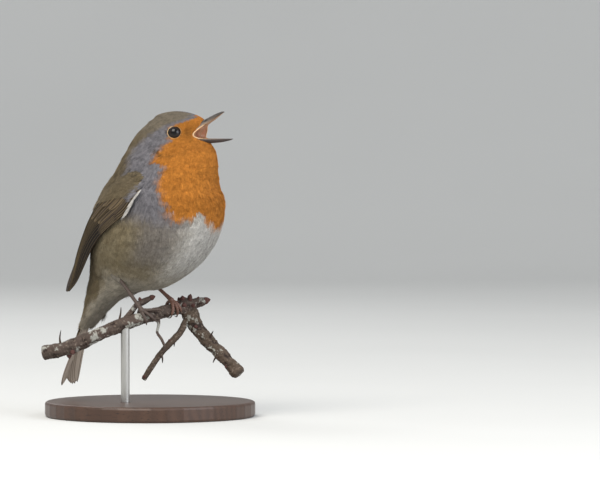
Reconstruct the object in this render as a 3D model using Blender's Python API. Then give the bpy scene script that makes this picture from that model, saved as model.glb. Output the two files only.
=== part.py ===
"""A singing European robin (Erithacus rubecula), life size, on a cut thorn branch and a display stand.

The body faces +X, its right side is at -Y and +Z is up. The origin is the middle of the underside of the
stand's base. Every length below is in millimetres and is turned into metres where a mesh is made.
The body is one loft of slices, from the crown down to the root of the tail. Each slice runs from a point
on the back to a point on the front, so the two outlines of the side view are the table itself.
"""

import math

import bmesh
import bpy
import numpy as np

MM = 0.001
GAP = 0.3

# Slices of the body: back x and z, front x and z, half width, and how pointed the front half is
# (1 is an ellipse). The first is the top of the crown, the last the end of the tail's coverts.
BODY = np.array(
    [
        [12.4, 139.3, 12.4, 139.3, 0.0, 1.0],
        [6.0, 138.1, 19.0, 138.7, 5.0, 1.1],
        [2.4, 135.9, 25.0, 136.6, 8.4, 1.3],
        [-1.6, 132.6, 28.0, 133.8, 10.1, 1.6],
        [-4.9, 129.4, 28.6, 130.0, 11.3, 1.9],
        [-7.7, 125.8, 29.3, 126.0, 12.7, 1.7],
        [-10.0, 121.9, 32.0, 121.3, 15.0, 1.3],
        [-12.4, 117.6, 32.8, 116.2, 17.8, 1.1],
        [-15.1, 112.8, 32.7, 111.2, 20.2, 1.0],
        [-18.6, 107.0, 33.4, 105.3, 22.6, 1.0],
        [-22.3, 100.0, 35.6, 97.5, 24.6, 1.0],
        [-25.0, 92.5, 35.0, 88.5, 25.3, 1.0],
        [-26.8, 84.5, 31.6, 79.5, 25.0, 1.0],
        [-28.0, 77.5, 25.5, 71.0, 22.6, 1.0],
        [-29.0, 71.0, 17.0, 64.0, 17.8, 1.0],
        [-30.0, 65.0, 7.0, 58.8, 12.4, 1.0],
        [-31.0, 59.5, -4.5, 56.6, 9.8, 1.0],
        [-32.0, 54.0, -14.0, 53.5, 8.6, 1.0],
        [-33.0, 49.0, -21.5, 48.3, 7.6, 1.0],
        [-34.2, 43.5, -27.8, 42.3, 6.8, 1.0],
    ]
)
HEAD_END = 5.6
NECK_END = 6.9
BODY_SIDES = 28

# The head looks a little to the bird's left: it turns about a vertical line through the neck.
HEAD_TURN = math.radians(6.0)
TURN_AXIS_X = 8.0
TURN_FROM_Z = 104.0
TURN_FULL_Z = 122.0

EYE_X = 16.2
EYE_Z = 129.7
EYE_RADIUS = 3.5
EYE_DEPTH = 2.3

# The gape, as x and z: the corner of the mouth, and each mandible's tip and the root of its ridge.
RICTUS = (23.6, 128.0)
UPPER_TIP = (36.3, 139.1)
UPPER_ROOT = (24.5, 135.1)
LOWER_TIP = (40.4, 126.6)
LOWER_ROOT = (25.0, 124.5)
BILL_HALF_WIDTH = 2.9
MOUTH_HALF_WIDTH = 14.0
MOUTH_REACH = 12.0
# The throat, from its end to the mouth: x and z from the corner of the mouth, with the radius there.
THROAT = [(-5.0, -0.8, 1.6), (0.0, 0.2, 2.6), (3.0, 2.2, 2.8)]
# Where each mandible's cutting edge begins, from the corner of the mouth, how far its ridge bows out, and
# how deep its inner face is hollowed.
UPPER_EDGE = (2.0, 2.4)
UPPER_BOW = 0.55
UPPER_HOLLOW = 0.2
LOWER_EDGE = (1.6, -0.7)
LOWER_BOW = -0.7
LOWER_HOLLOW = 0.45

# The folded right wing, shoulder to tip: lower edge x, y, z, upper edge x, y, z, bulge and thickness.
WING = np.array(
    [
        [9.0, -18.4, 111.5, 3.0, -15.5, 115.0, 0.6, 1.4],
        [9.0, -22.2, 106.0, -7.8, -11.6, 112.5, 3.0, 2.6],
        [5.4, -24.7, 99.8, -16.8, -8.2, 106.0, 5.4, 3.0],
        [1.2, -25.8, 93.2, -23.4, -5.4, 98.0, 7.0, 3.0],
        [-7.2, -24.9, 87.0, -28.4, -4.0, 89.5, 5.8, 2.8],
        [-15.2, -21.7, 81.0, -32.2, -3.4, 81.0, 4.2, 2.4],
        [-21.6, -17.9, 74.2, -35.2, -3.8, 73.5, 3.0, 2.0],
        [-26.6, -14.9, 67.2, -37.4, -5.2, 66.5, 1.8, 1.6],
        [-31.0, -12.7, 61.0, -38.6, -7.4, 60.5, 0.8, 1.2],
        [-36.0, -11.0, 56.2, -38.4, -9.4, 56.4, 0.2, 0.8],
    ]
)

# The left wing's end lies against the rump, further out than the right one's: how far, and the rows
# between which it leaves the mirrored line.
LEFT_TIP_OUT = 7.0
LEFT_TIP_ROWS = (3.5, 7.5)

# The tail blade: centre line, half width and thickness, with a shallow notch between two lobes.
TAIL = np.array(
    [
        [-31.1, 42.5, 6.4, 3.2],
        [-34.0, 36.0, 7.2, 2.8],
        [-37.4, 27.5, 8.6, 2.2],
        [-40.4, 19.5, 9.6, 1.6],
        [-42.4, 13.2, 9.4, 1.0],
    ]
)
TAIL_NOTCH = 2.4

# The perch: points along each branch with the radius there.
STEM = np.array(
    [
        [-42.5, -24.0, 29.2, 3.1],
        [-36.0, -22.8, 30.3, 3.3],
        [-27.9, -21.0, 32.8, 3.2],
        [-14.7, -17.0, 39.0, 3.0],
        [-5.0, -13.0, 43.0, 2.9],
        [2.6, -7.5, 46.0, 2.8],
        [7.8, 1.6, 48.2, 2.8],
        [10.6, 7.2, 49.4, 3.0],
        [12.8, 11.0, 50.0, 4.2],
        [16.0, 13.2, 51.2, 2.4],
        [20.6, 15.5, 52.5, 1.7],
    ]
)
FORK = np.array(
    [
        [14.4, 12.0, 46.4, 3.8],
        [17.6, 12.2, 40.6, 3.5],
        [22.6, 12.4, 35.0, 3.0],
        [31.0, 12.4, 27.4, 2.9],
        [39.4, 12.0, 19.6, 2.9],
    ]
)
TWIG = np.array(
    [
        [13.6, 9.6, 43.0, 1.6],
        [11.2, 6.4, 37.2, 1.6],
        [6.2, 3.0, 31.0, 1.5],
        [1.2, 0.0, 23.4, 1.4],
        [-2.6, -1.4, 16.6, 1.2],
    ]
)
SPUR = np.array(
    [
        [-6.8, -12.4, 43.0, 2.0],
        [-4.9, -9.5, 47.6, 1.4],
        [-3.4, -7.0, 50.9, 1.3],
        [-1.4, -5.2, 52.2, 1.7],
        [1.0, -3.8, 53.6, 1.3],
        [2.4, -3.0, 54.5, 0.8],
    ]
)
THORNS = [
    [(-9.0, -14.8, 42.4), (-8.0, -14.0, 47.6), (-7.8, -13.8, 50.0)],
    [(-33.8, -22.4, 31.2), (-34.4, -23.0, 35.6), (-33.6, -23.4, 39.6)],
]
STEM_SIDES = 10

# Feet: how far along the stem each stands, and how the tarsus leaves the belly.
FOOT_AT = {"right": 4.75, "left": 6.4}
FOOT_LEAN = {"right": 32.0, "left": 8.0}
HEEL = {"right": (-13.1, -13.2, 68.4), "left": (-10.4, 7.0, 67.4)}
TARSUS_RADIUS = 1.0
TOE_RADII = (0.8, 0.55)
CLAW_RADII = (0.42, 0.2)
KNUCKLE_RADIUS = 1.35
# Each toe: start and end angle round the perch, and the shift along it at root and tip. A claw goes on
# round the perch after a small gap, with no more drift along it than CLAW_DRIFT for each degree.
TOES = {
    "right": {
        "outer": (36.0, 122.0, -0.3, 0.2),
        "middle": (36.0, 130.0, 0.6, 4.6),
        "inner": (30.0, 62.0, 1.0, 8.0),
        "hind": (24.0, -80.0, 0.0, -1.0),
    },
    "left": {
        "outer": (10.0, 112.0, 0.4, 2.4),
        "middle": (12.0, 130.0, 0.0, 0.4),
        "inner": (10.0, 116.0, -0.4, -3.0),
        "hind": (0.0, -92.0, 0.0, -0.8),
    },
}
CLAW_ARC = 34.0
CLAW_GAP_ARC = 11.0
CLAW_DRIFT = 0.03

BASE_RADIUS = 48.0
BASE_THICKNESS = 7.0
BASE_BEVEL = 1.2
BASE_SIDES = 40
ROD_RADIUS = 2.0
ROD_AT = 3.9
ROD_INSET = 1.6
ROD_SOCKET = 4.0


def clear_scene():
    for obj in list(bpy.data.objects):
        bpy.data.objects.remove(obj)


def material(name, colour, roughness, metallic=0.0):
    """A Principled material of one colour, given as linear red, green and blue."""
    made = bpy.data.materials.new(name)
    made.use_nodes = True
    shader = made.node_tree.nodes["Principled BSDF"]
    shader.inputs["Base Color"].default_value = (*colour, 1.0)
    shader.inputs["Roughness"].default_value = roughness
    shader.inputs["Metallic"].default_value = metallic
    return made


def spline(table, at, first=None):
    """Catmull-Rom curve through the rows of a table, one row for each whole number of `at`.

    `first` is the row before the first one. Without it both ends run straight on."""
    before = 2 * table[0] - table[1] if first is None else first
    rows = np.vstack([before, table, 2 * table[-1] - table[-2]])
    at = np.clip(np.asarray(at, float), 0, len(table) - 1)
    whole = np.minimum(at.astype(int), len(table) - 2)
    u = (at - whole)[:, None]
    a, b, c, d = (rows[whole + k] for k in range(4))
    return 0.5 * (
        2 * b + (c - a) * u + (2 * a - 5 * b + 4 * c - d) * u**2 + (3 * b - a - 3 * c + d) * u**3
    )


def turned(points, way=1):
    """Turns what lies above the neck about the neck's vertical line, by an angle that eases in.

    With `way` at -1 it turns it straight again."""
    share = np.clip((points[..., 2] - TURN_FROM_Z) / (TURN_FULL_Z - TURN_FROM_Z), 0, 1)
    angle = way * HEAD_TURN * share * share * (3 - 2 * share)
    x = points[..., 0] - TURN_AXIS_X
    y = points[..., 1]
    out = points.copy()
    out[..., 0] = TURN_AXIS_X + x * np.cos(angle) - y * np.sin(angle)
    out[..., 1] = x * np.sin(angle) + y * np.cos(angle)
    return out


def body_rings(at, sides=BODY_SIDES):
    """Rings of the body at the given slice numbers: half ellipses to the back and the front.

    The width follows the sine of the angle, raised to the slice's own power on the front half."""
    mirror = BODY[1][[2, 3, 0, 1, 4, 5]] * [1, 1, 1, 1, -1, 1]
    rows = spline(BODY, at, first=mirror)
    angle = np.arange(sides) * 2 * math.pi / sides
    cosine, sine = np.cos(angle), np.sin(angle)
    back, front = rows[:, None, 0:2], rows[:, None, 2:4]
    middle = (back + front) / 2
    profile = middle + (back - middle) * cosine[None, :, None]
    power = np.where(cosine[None, :] < 0, rows[:, 5:6], 1.0)
    width = rows[:, 4:5] * np.sign(sine)[None, :] * np.abs(sine)[None, :] ** power
    return turned(np.stack([profile[..., 0], width, profile[..., 1]], axis=2))


def surface_at(x, z, side):
    """The point of the head's surface above (x, z) on one side, and its outward normal.

    The place is given on the head before it turns."""
    at = np.linspace(1, 8, 141)
    sides = 240
    rings = body_rings(at, sides)
    flat = turned(rings, -1)[:, :, [0, 2]] - np.array([x, z])
    near = (flat**2).sum(axis=2) + np.where(rings[:, :, 1] * side > 0, 0.0, 1e6)
    i, j = np.unravel_index(near.argmin(), near.shape)
    along = rings[i + 1, j] - rings[i - 1, j]
    around = rings[i, (j + 1) % sides] - rings[i, j - 1]
    normal = np.cross(along, around)
    normal /= np.linalg.norm(normal)
    if normal[1] * side < 0:
        normal = -normal
    return rings[i, j], normal


def add_object(name, points, faces, finish):
    """A smooth-shaded mesh object from points in millimetres, with its faces turned outward."""
    mesh = bpy.data.meshes.new(name)
    mesh.from_pydata((np.asarray(points, float) * MM).tolist(), [], faces)
    built = bmesh.new()
    built.from_mesh(mesh)
    bmesh.ops.recalc_face_normals(built, faces=built.faces)
    built.to_mesh(mesh)
    built.free()
    mesh.shade_smooth()
    mesh.set_sharp_from_angle(angle=math.radians(40))
    obj = bpy.data.objects.new(name, mesh)
    if finish is not None:
        mesh.materials.append(finish)
    bpy.context.scene.collection.objects.link(obj)
    return obj


def loft(name, rings, finish, pole=None):
    """A closed solid through rings of equal size, with flat ends, or a single top point as `pole`."""
    count, sides = rings.shape[:2]
    points = rings.reshape(-1, 3)
    faces = []
    for i in range(count - 1):
        for j in range(sides):
            k = (j + 1) % sides
            faces.append((i * sides + j, i * sides + k, (i + 1) * sides + k, (i + 1) * sides + j))
    faces.append(tuple((count - 1) * sides + j for j in range(sides)))
    if pole is None:
        faces.append(tuple(reversed(range(sides))))
    else:
        points = np.vstack([points, pole])
        faces.extend((len(points) - 1, (j + 1) % sides, j) for j in range(sides))
    return add_object(name, points, faces, finish)


def frames_along(path):
    """Unit tangent, upward and sideways vectors at each point of a path."""
    tangent = np.gradient(path, axis=0)
    tangent /= np.linalg.norm(tangent, axis=1, keepdims=True)
    up = np.array([0.0, 0.0, 1.0]) - tangent * tangent[:, 2:3]
    up /= np.linalg.norm(up, axis=1, keepdims=True)
    return tangent, up, np.cross(tangent, up)


def tube(name, table, finish, steps=3, sides=STEM_SIDES, grow=0.0):
    """A round solid along a table of x, y, z and radius, made `grow` wider all round."""
    rows = spline(table, np.linspace(0, len(table) - 1, (len(table) - 1) * steps + 1))
    path, radius = rows[:, :3], rows[:, 3] + grow
    tangent, up, across = frames_along(path)
    angle = np.arange(sides) * 2 * math.pi / sides
    circle = up[:, None] * np.cos(angle)[None, :, None] + across[:, None] * np.sin(angle)[None, :, None]
    return loft(name, path[:, None] + circle * radius[:, None, None], finish)


def ball(name, centre, radius, finish, rows=8, sides=14):
    """A closed ball of rings between two poles, the poles lying along y."""
    lift = np.linspace(0, math.pi, rows + 1)[1:-1]
    angle = np.arange(sides) * 2 * math.pi / sides
    rings = np.stack(
        [
            radius * np.outer(np.sin(lift), np.cos(angle)),
            np.repeat(radius * np.cos(lift)[:, None], sides, axis=1),
            radius * np.outer(np.sin(lift), np.sin(angle)),
        ],
        axis=2,
    )
    points = np.vstack([rings.reshape(-1, 3), [0, radius, 0], [0, -radius, 0]]) + centre
    faces = []
    for i in range(len(lift) - 1):
        for j in range(sides):
            k = (j + 1) % sides
            faces.append((i * sides + j, i * sides + k, (i + 1) * sides + k, (i + 1) * sides + j))
    last = (len(lift) - 1) * sides
    for j in range(sides):
        k = (j + 1) % sides
        faces.append((j, len(points) - 2, k))
        faces.append((last + k, len(points) - 1, last + j))
    return add_object(name, points, faces, finish)


def boolean(obj, other, operation):
    """A live Boolean of `other` on `obj`, with `other` kept as a hidden helper."""
    modifier = obj.modifiers.new(other.name, "BOOLEAN")
    modifier.operation = operation
    modifier.object = other
    other.hide_render = True
    other.display_type = "WIRE"


# ---- The body ------------------------------------------------------------------------------------


def body_section(name, start, end, rings, finish):
    """One length of the body between two slices, each flat end drawn back by half a gap."""
    at = np.linspace(start, end, rings)
    if start > 0:
        at[0] = start + slice_share(start)
    if end < len(BODY) - 1:
        at[-1] = end - slice_share(end)
    if start > 0:
        return loft(name, body_rings(at), finish)
    crown = BODY[0][[0, 0, 1]] * [1, 0, 1]
    return loft(name, body_rings(at[1:]), finish, pole=turned(crown[None]))


def slice_share(at):
    """How far half a gap is, in slice numbers, where neighbouring slices lie closest together."""
    rows = spline(BODY, [at - 0.01, at + 0.01])
    back = np.linalg.norm(rows[1, 0:2] - rows[0, 0:2])
    front = np.linalg.norm(rows[1, 2:4] - rows[0, 2:4])
    return 0.5 * GAP * 0.02 / min(back, front)


def mouth_cutter():
    """The wedge between the open jaws, cut right through the face from side to side."""
    x, z = RICTUS
    reach = MOUTH_REACH
    rise = (UPPER_TIP[1] - z) / (UPPER_TIP[0] - x)
    drop = (LOWER_TIP[1] - z) / (LOWER_TIP[0] - x)
    outline = [
        (x, z - 0.5),
        (x - 0.3, z),
        (x, z + 0.6),
        (x + reach, z + 0.6 + reach * rise),
        (x + reach, z - 0.5 + reach * drop),
    ]
    half = MOUTH_HALF_WIDTH
    rings = np.array([[[px, y, pz] for px, pz in outline] for y in (-half, half)])
    return loft("mouth_cutter", turned(rings), None)


def throat_cutter():
    """A round pocket behind the mouth."""
    x, z = RICTUS
    table = np.array([[x + along, 0, z + up, radius] for along, up, radius in THROAT])
    cutter = tube("throat_cutter", table, None, steps=2)
    turn_mesh(cutter)
    return cutter


def turn_mesh(obj):
    """Turns a finished mesh with the head."""
    points = np.array([vertex.co for vertex in obj.data.vertices]) / MM
    obj.data.vertices.foreach_set("co", (turned(points) * MM).ravel())
    obj.data.update()


def mandible(name, root, tip, edge_root, bow, hollow, finish, grow=0.0):
    """Half a bill: a bowed ridge line from root to tip and two cutting edges from the mouth's corner.

    Sections are triangles with a rounded ridge. `hollow` is how far the inner face dips between the
    edges, as a share of the section's height."""
    share = np.linspace(0, 1, 9)[:, None]
    ridge = np.array(root) + (np.array(tip) - root) * share
    ridge[:, 1] += bow * np.sin(math.pi * share[:, 0])
    edge = np.array(edge_root) + (np.array(tip) - edge_root) * share
    half = BILL_HALF_WIDTH * (1 - share[:, 0]) ** 0.8 + 0.28 + grow
    outward = np.sign(bow)
    least = np.maximum(np.abs(ridge[:, 1] - edge[:, 1]), 0.45)
    top = edge[:, 1] + outward * (least + grow)
    low = edge[:, 1] - outward * grow
    rings = []
    across = [0.0, 0.45, 0.8, 1.0, 0.5, 0.0, -0.5, -1.0, -0.8, -0.45]
    height = [1.0, 0.86, 0.5, 0.0, 0.7 * hollow, hollow, 0.7 * hollow, 0.0, 0.5, 0.86]
    for i in range(len(share)):
        x = [ridge[i, 0] + (edge[i, 0] - ridge[i, 0]) * (1 - h) for h in height]
        rings.append(
            [(x[k], across[k] * half[i], low[i] + (top[i] - low[i]) * height[k]) for k in range(10)]
        )
    return loft(name, turned(np.array(rings)), finish)


def make_bill(horn):
    """The two mandibles, and the same shapes a gap larger to cut the head with."""
    x, z = RICTUS
    shapes = [
        ("bill_upper", UPPER_ROOT, UPPER_TIP, UPPER_EDGE, UPPER_BOW, UPPER_HOLLOW),
        ("bill_lower", LOWER_ROOT, LOWER_TIP, LOWER_EDGE, LOWER_BOW, LOWER_HOLLOW),
    ]
    cutters = []
    for name, root, tip, start, bow, hollow in shapes:
        edge = (x + start[0], z + start[1])
        mandible(name, root, tip, edge, bow, hollow, horn)
        root, edge = lengthened(root, tip), lengthened(edge, tip)
        cutters.append(mandible(name + "_cutter", root, tip, edge, bow, hollow, None, GAP))
    return cutters


def lengthened(root, tip):
    """The root moved a gap away from the tip, along the line between them."""
    run = np.subtract(tip, root)
    return tuple(np.array(root) - run * GAP / np.linalg.norm(run))


def make_tongue(name, flesh, grow=0.0):
    """A short pointed tongue lying between the edges of the lower mandible."""
    x, z = RICTUS
    centre = np.array([[x - 2.0, z - 0.2], [x + 1.9, z - 0.5], [x + 5.4, z - 0.85], [x + 9.4, z - 1.0]])
    half = [1.4, 1.4, 1.2, 0.35]
    thick = [0.6, 0.5, 0.42, 0.25]
    angle = np.arange(10) * 2 * math.pi / 10
    rings = [
        [(c[0], (h + grow) * math.cos(a), c[1] + (t + grow) * math.sin(a)) for a in angle]
        for c, h, t in zip(centre, half, thick)
    ]
    rings = np.array(rings)
    rings[0, :, 0] -= grow
    rings[-1, :, 0] += grow
    return loft(name, turned(rings), flesh)


def make_head(plumage, horn, flesh, eye_dark):
    head = body_section("head", 0, HEAD_END, 14, plumage)
    boolean(head, mouth_cutter(), "DIFFERENCE")
    boolean(head, throat_cutter(), "DIFFERENCE")
    for cutter in make_bill(horn):
        boolean(head, cutter, "DIFFERENCE")
    make_tongue("tongue", flesh)
    boolean(head, make_tongue("tongue_cutter", None, GAP), "DIFFERENCE")
    for side, sign in (("right", -1), ("left", 1)):
        point, normal = surface_at(EYE_X, EYE_Z, sign)
        centre = point - normal * EYE_DEPTH
        ball("eye_" + side, centre, EYE_RADIUS, eye_dark)
        socket = ball("socket_cutter_" + side, centre, EYE_RADIUS + GAP, None)
        boolean(head, socket, "DIFFERENCE")


# ---- Wings and tail ------------------------------------------------------------------------------


def wing_rings(side, grow=0.0, outward=0.0):
    """Closed sections of a folded wing: an outer bow from edge to edge and an inner one under it."""
    at = np.linspace(0, len(WING) - 1, 16)
    rows = spline(WING, at)
    low, high = rows[:, 0:3], rows[:, 3:6]
    bulge, thick = rows[:, 6], rows[:, 7]
    along = np.gradient((low + high) / 2, axis=0)
    chord = high - low
    normal = np.cross(chord, along)
    normal /= np.linalg.norm(normal, axis=1, keepdims=True)
    normal *= np.sign(-normal[:, 1:2])
    edge = chord / np.linalg.norm(chord, axis=1, keepdims=True)
    share = np.linspace(0, 1, 9)
    bow = 4 * share * (1 - share)
    spread = low[:, None] + chord[:, None] * share[None, :, None]
    spread += edge[:, None] * (grow * (2 * share - 1))[None, :, None]
    outer = bulge[:, None] * bow[None] + 0.35 + grow + outward
    inner = bulge[:, None] * bow[None] + 0.35 - thick[:, None] * (0.35 + 0.65 * np.sqrt(bow))[None] - grow
    top = spread + normal[:, None] * outer[..., None]
    under = spread + normal[:, None] * inner[..., None]
    rings = np.concatenate([top, under[:, ::-1]], axis=1)
    if grow:
        rings[0] -= along[0] / np.linalg.norm(along[0]) * grow
        rings[-1] += along[-1] / np.linalg.norm(along[-1]) * grow
    if side > 0:
        first, last = LEFT_TIP_ROWS
        share = np.clip((at - first) / (last - first), 0, 1)
        rings[..., 1] *= -1
        rings[..., 1] += LEFT_TIP_OUT * (share * share * (3 - 2 * share))[:, None]
    return rings


def make_wings(finish):
    """Both wings, and larger copies that clear the trunk from their inner faces outward."""
    cutters = []
    for side, sign in (("right", -1), ("left", 1)):
        loft("wing_" + side, wing_rings(sign), finish)
        cutters.append(loft("wing_cutter_" + side, wing_rings(sign, GAP, 4.0), None))
    return cutters


def make_tail(finish):
    """A thin blade that widens to two rounded lobes with a notch between them."""
    share = np.linspace(0, len(TAIL) - 1, 10)
    rows = spline(TAIL, share)
    tangent = np.gradient(rows[:, 0:2], axis=0)
    tangent /= np.linalg.norm(tangent, axis=1, keepdims=True)
    normal = np.stack([-tangent[:, 1], tangent[:, 0]], axis=1)
    sides = 18
    angle = np.arange(sides) * 2 * math.pi / sides
    across = np.cos(angle)
    lens = np.sin(angle)
    camber = 0.9 * (1 - across**2)
    ending = (share / share[-1]) ** 6
    lobes = -TAIL_NOTCH * np.exp(-((across / 0.28) ** 2)) - 3.2 * across**6
    shift = ending[:, None] * lobes[None, :]
    lift = (rows[:, 3:4] / 2) * lens[None, :] - camber[None, :]
    x = rows[:, 0:1] + tangent[:, 0:1] * shift + normal[:, 0:1] * lift
    z = rows[:, 1:2] + tangent[:, 1:2] * shift + normal[:, 1:2] * lift
    y = rows[:, 2:3] * across[None, :]
    rings = np.stack([x, y, z], axis=2)
    rings[0] += np.array([tangent[0, 0], 0.0, tangent[0, 1]]) * GAP
    return loft("tail", rings, finish)


# ---- Legs and feet -------------------------------------------------------------------------------


def foot_frame(side):
    """The stem's centre, radius, tangent, upward and forward vectors under one foot."""
    at = FOOT_AT[side]
    rows = spline(STEM, [at - 0.05, at, at + 0.05])
    tangent = rows[2, :3] - rows[0, :3]
    tangent /= np.linalg.norm(tangent)
    up = np.array([0.0, 0.0, 1.0]) - tangent * tangent[2]
    up /= np.linalg.norm(up)
    return rows[1, :3], rows[1, 3], tangent, up, np.cross(tangent, up)


def toe_table(side, start, end, near, far, radii, points):
    """Points of a toe or a claw that bends round the perch, with the radius at each."""
    centre, radius, tangent, up, forward = foot_frame(side)
    share = np.linspace(0, 1, points)
    angle = np.radians(start + (end - start) * share)
    size = radii[0] + (radii[1] - radii[0]) * share
    reach = radius + GAP + 0.12 + size
    path = (
        centre
        + tangent * (near + (far - near) * share)[:, None]
        + reach[:, None] * (up * np.cos(angle)[:, None] + forward * np.sin(angle)[:, None])
    )
    return np.column_stack([path, size])


def make_foot(side, skin, horn):
    """A knuckle on top of the perch, four toes that grip it and a claw at the end of each."""
    centre, radius, tangent, up, forward = foot_frame(side)
    lean = math.radians(FOOT_LEAN[side])
    out = up * math.cos(lean) + forward * math.sin(lean)
    knuckle = centre + out * (radius + GAP + KNUCKLE_RADIUS)
    foot = ball("foot_" + side, knuckle, KNUCKLE_RADIUS, skin, rows=6, sides=10)
    for toe, (start, end, near, far) in TOES[side].items():
        table = toe_table(side, start, end, near, far, TOE_RADII, 7)
        boolean(foot, tube(f"toe_{toe}_{side}", table, None, steps=1, sides=7), "UNION")
        drift = math.copysign(min(CLAW_DRIFT, abs(far - near) / abs(end - start)), far - near)
        turn = math.copysign(1, end)
        first, last = CLAW_GAP_ARC, CLAW_GAP_ARC + CLAW_ARC
        angles = (end + turn * first, end + turn * last)
        shifts = (far + drift * first, far + drift * last)
        claw = toe_table(side, *angles, *shifts, CLAW_RADII, 5)
        tube(f"claw_{toe}_{side}", claw, horn, steps=1, sides=6)
    return knuckle


def make_leg(side, knuckle, skin):
    """The bare tarsus, from inside the belly's feathers down to the foot."""
    heel = np.array(HEEL[side])
    axis = heel - knuckle
    axis /= np.linalg.norm(axis)
    ankle = knuckle + axis * (KNUCKLE_RADIUS + GAP)
    middle = (heel + ankle) / 2
    table = np.array(
        [
            [*ankle, TARSUS_RADIUS * 1.05],
            [*(ankle + axis * 3), TARSUS_RADIUS * 0.85],
            [*middle, TARSUS_RADIUS * 0.82],
            [*heel, TARSUS_RADIUS * 1.2],
        ]
    )
    tube("leg_" + side, table, skin, steps=3, sides=8)
    table[-1, :3] += axis * GAP
    return tube("leg_cutter_" + side, table, None, steps=3, sides=8, grow=GAP)


# ---- Perch and stand -----------------------------------------------------------------------------


def make_perch(bark):
    """The stem with its spur and thorns, and the fork and twig that leave it, as three solids."""
    stem = tube("perch_stem", STEM, bark)
    boolean(stem, tube("spur_helper", SPUR, None, steps=3, sides=8), "UNION")
    for number, thorn in enumerate(THORNS):
        table = np.column_stack([np.array(thorn), [1.0, 0.6, 0.22]])
        boolean(stem, tube(f"thorn_helper_{number}", table, None, steps=2, sides=6), "UNION")
    fork = tube("perch_fork", FORK, bark)
    boolean(fork, tube("stem_clearance", STEM, None, grow=GAP), "DIFFERENCE")
    twig = tube("perch_twig", TWIG, bark, sides=8)
    boolean(twig, tube("fork_clearance", FORK, None, grow=GAP), "DIFFERENCE")
    return stem


def rod_line():
    """Where the rod stands, and the height of the perch's underside above it."""
    row = spline(STEM, [ROD_AT])[0]
    return row[0], row[1], row[2] - row[3]


def make_stand(stem, wood, metal):
    """A round wooden base, and one metal rod let into the base and into the perch's underside."""
    x, y, under = rod_line()
    foot = BASE_THICKNESS - ROD_SOCKET
    top = under + ROD_INSET
    spans = {"stand_rod": (foot, top, 0.0), "rod_clearance": (foot - GAP, top + GAP, GAP)}
    rods = {}
    for name, (low, high, grow) in spans.items():
        bpy.ops.mesh.primitive_cylinder_add(
            vertices=24,
            radius=(ROD_RADIUS + grow) * MM,
            depth=(high - low) * MM,
            location=(x * MM, y * MM, (low + high) / 2 * MM),
        )
        rods[name] = bpy.context.active_object
        rods[name].name = name
        rods[name].data.shade_smooth()
        rods[name].data.set_sharp_from_angle(angle=math.radians(40))
    rods["stand_rod"].data.materials.append(metal)
    bpy.ops.mesh.primitive_cylinder_add(
        vertices=BASE_SIDES,
        radius=BASE_RADIUS * MM,
        depth=BASE_THICKNESS * MM,
        location=(0, 0, BASE_THICKNESS / 2 * MM),
    )
    base = bpy.context.active_object
    base.name = "stand_base"
    base.data.materials.append(wood)
    bevel = base.modifiers.new("edge", "BEVEL")
    bevel.width = BASE_BEVEL * MM
    bevel.segments = 2
    bevel.limit_method = "ANGLE"
    boolean(base, rods["rod_clearance"], "DIFFERENCE")
    boolean(stem, rods["rod_clearance"], "DIFFERENCE")


def main():
    clear_scene()
    plumage = material("plumage", (0.17, 0.13, 0.08), 0.85)
    quills = material("flight_feathers", (0.08, 0.055, 0.035), 0.7)
    horn = material("bill_and_claw_horn", (0.05, 0.04, 0.035), 0.4)
    flesh = material("mouth_flesh", (0.45, 0.2, 0.12), 0.4)
    skin = material("leg_scutes", (0.14, 0.09, 0.06), 0.5)
    eye_dark = material("eye", (0.01, 0.008, 0.006), 0.05)
    bark = material("bark", (0.14, 0.12, 0.1), 0.9)
    wood = material("base_wood", (0.05, 0.03, 0.02), 0.35)
    metal = material("rod_steel", (0.45, 0.44, 0.42), 0.3, 1.0)

    make_head(plumage, horn, flesh, eye_dark)
    body_section("neck", HEAD_END, NECK_END, 5, plumage)
    trunk = body_section("trunk", NECK_END, len(BODY) - 1, 21, plumage)
    for cutter in make_wings(quills):
        boolean(trunk, cutter, "DIFFERENCE")
    make_tail(quills)
    for side in ("right", "left"):
        knuckle = make_foot(side, skin, horn)
        boolean(trunk, make_leg(side, knuckle, skin), "DIFFERENCE")
    stem = make_perch(bark)
    make_stand(stem, wood, metal)


main()
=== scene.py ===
# %% [markdown]
# # A singing robin on a thorn twig
#
# The solid model gives this bird its outline and its place. This lesson dresses it: one skin in place of
# the flesh, a coat of small feathers over it, long feathers on the wings and the tail, and then the bill,
# the eyes, the legs and the perch. Every shape is worked out as whole arrays of points. All lengths are
# in millimetres until a mesh is made: the bird looks along +X, its right side is at -Y and +Z is up.

import math

import bpy
import numpy as np
from mathutils import Matrix


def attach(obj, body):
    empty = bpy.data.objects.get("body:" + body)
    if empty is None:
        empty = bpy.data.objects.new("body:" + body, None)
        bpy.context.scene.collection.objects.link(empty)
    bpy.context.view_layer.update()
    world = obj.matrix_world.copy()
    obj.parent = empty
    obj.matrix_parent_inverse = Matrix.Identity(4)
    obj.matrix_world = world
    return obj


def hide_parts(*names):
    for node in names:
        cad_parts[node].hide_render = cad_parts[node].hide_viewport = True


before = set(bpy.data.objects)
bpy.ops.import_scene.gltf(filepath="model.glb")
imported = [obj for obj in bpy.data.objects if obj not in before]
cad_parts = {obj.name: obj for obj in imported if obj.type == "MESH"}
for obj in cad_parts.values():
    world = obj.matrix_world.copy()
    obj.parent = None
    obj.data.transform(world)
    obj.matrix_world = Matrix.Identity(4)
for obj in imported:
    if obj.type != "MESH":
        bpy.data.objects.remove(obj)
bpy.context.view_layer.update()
MM = 0.001
UP = np.array([0, 0, 1.0])
chance = np.random.default_rng(2024)
print("nodes:", len(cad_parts))

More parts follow.
